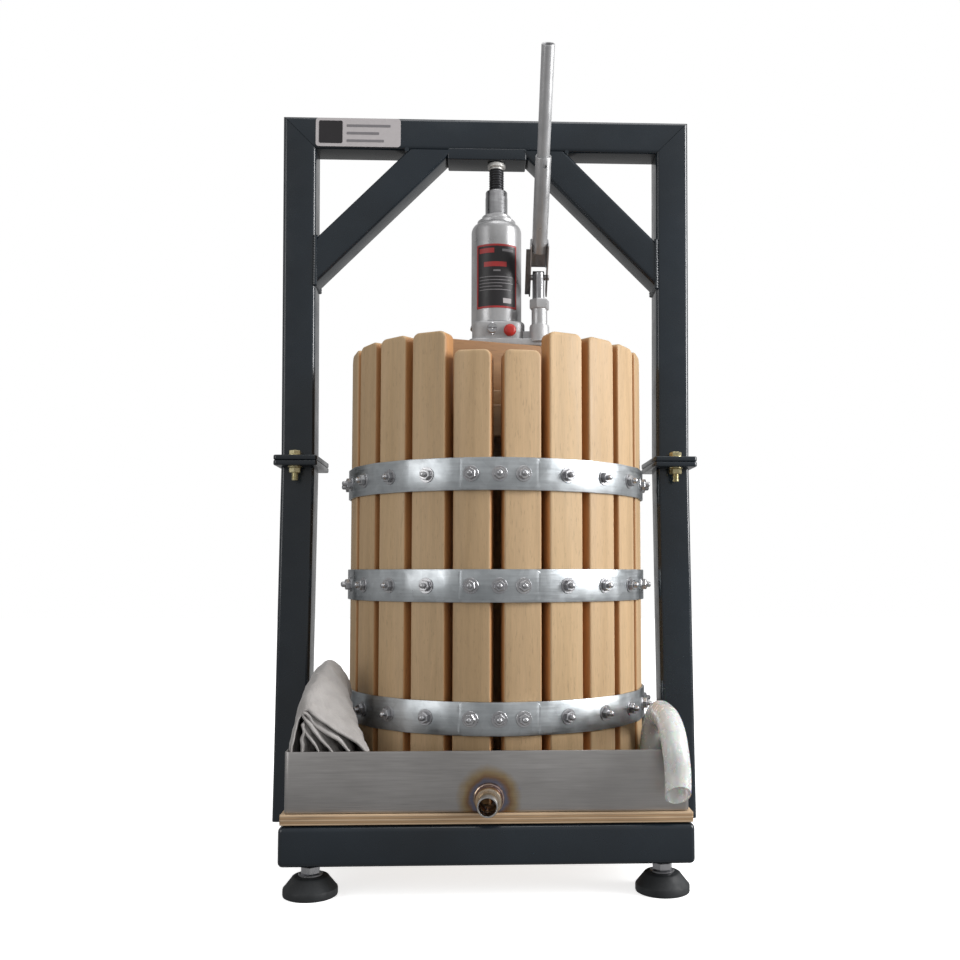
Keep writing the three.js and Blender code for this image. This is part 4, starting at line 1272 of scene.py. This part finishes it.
valve_turn = turned((VALVE_AT[0], body_front - GAP, VALVE_AT[1]), math.pi / 2, "X")
knob_profile = [(0, 0), (4.2, 0), (4.2, 2.6), (5.8, 3), (6, 3.6), (6, 7), (5.4, 7.8), (0, 7.8)]
valve = Shape().add(lathe(knob_profile, 36), valve_turn)
valve_piece = make_piece("valve_knob", valve, [NUT_METAL])
carve(valve_piece, rounded_block((-8, -1), (8, 1), 0.3, 5, 12, 0.1), valve_turn)
bar_turn = valve_turn @ turned((0, 0, 4), math.pi / 2, "X")
valve_bar = Shape().add(soft_disc(1.6, -7.4, 7.4, 0.3, 0.4, 16), bar_turn)
add_piece("valve_bar", valve_bar, [NUT_METAL], "valve", "steel")
settle(valve_piece, "valve", "steel", "release_valve")

plug_turn = turned((PLUG_AT[0], body_front - GAP, PLUG_AT[1]), math.pi / 2, "X")
plug = Shape().add(lathe([
    (0, -8), (3.8, -8), (4.2, -7.4), (4.2, 0), (7.2, 0), (7.5, 0.8), (7.2, 2.4), (6, 3.8),
    (3.8, 4.7), (0, 5),
], 40), plug_turn)
add_piece("rubber_plug", plug, [RED_RUBBER], "plug", "red_rubber", "filler_plug")

# ---- floor and light
floor_mesh = bpy.data.meshes.new("floor")
floor_mesh.from_pydata([(-6, -6, 0), (6, -6, 0), (6, 6, 0), (-6, 6, 0)], [], [(0, 1, 2, 3)])
FLOOR_WHITE = (0.86, 0.86, 0.86, 1)
floor_surface = Nodes(
    "floor_surface", 0.9, Base_Color=FLOOR_WHITE, Emission_Color=FLOOR_WHITE, Emission_Strength=0.85,
)
floor_mesh.materials.append(floor_surface.material)
floor = bpy.data.objects.new("floor", floor_mesh)
floor.visible_diffuse = False
floor.visible_glossy = False
scene.collection.objects.link(floor)

# The camera sees white. The room's light is brighter towards the right and darker below the floor's level.
world = bpy.data.worlds.new("studio")
scene.world = world
world.use_nodes = True
studio = Tree(world.node_tree)
room = studio.new("ShaderNodeSeparateXYZ", [(0, studio.coordinates("Generated"))])
shades = [
    studio.span(room.outputs[axis], low, high, -0.6, 0.4)
    for axis, low, high in (("X", 0.42, 0.6), ("Z", 0.58, 1.0))
]
seen = studio.new("ShaderNodeLightPath").outputs["Is Camera Ray"]
links = [(0, seen), (2, studio.math("MULTIPLY", *shades)), (3, 1.0)]
pick = studio.new("ShaderNodeMix", links, data_type="FLOAT")
background = studio.tree.nodes["Background"]
studio.tree.links.new(pick.outputs[0], background.inputs["Strength"])
background.inputs["Color"].default_value = (1, 1, 1, 1)


def area_light(name, location, target, size, power):
    data = bpy.data.lights.new(name, "AREA")
    data.shape = "RECTANGLE"
    data.size, data.size_y = size
    data.energy = power
    light = bpy.data.objects.new(name, data)
    light.location = location
    light.rotation_euler = (Vector(target) - Vector(location)).to_track_quat("-Z", "Y").to_euler()
    scene.collection.objects.link(light)


area_light("key_right", (2.5, -0.85, 1.25), (0, 0, 0.4), (1.0, 1.8), 88)
area_light("fill_left", (-2.2, -1.8, 1.1), (0, 0, 0.4), (1.2, 1.8), 15)
area_light("top", (0.2, -0.3, 2.4), (0, 0, 0.4), (1.4, 1.0), 10)
scene.view_settings.view_transform = "Standard"
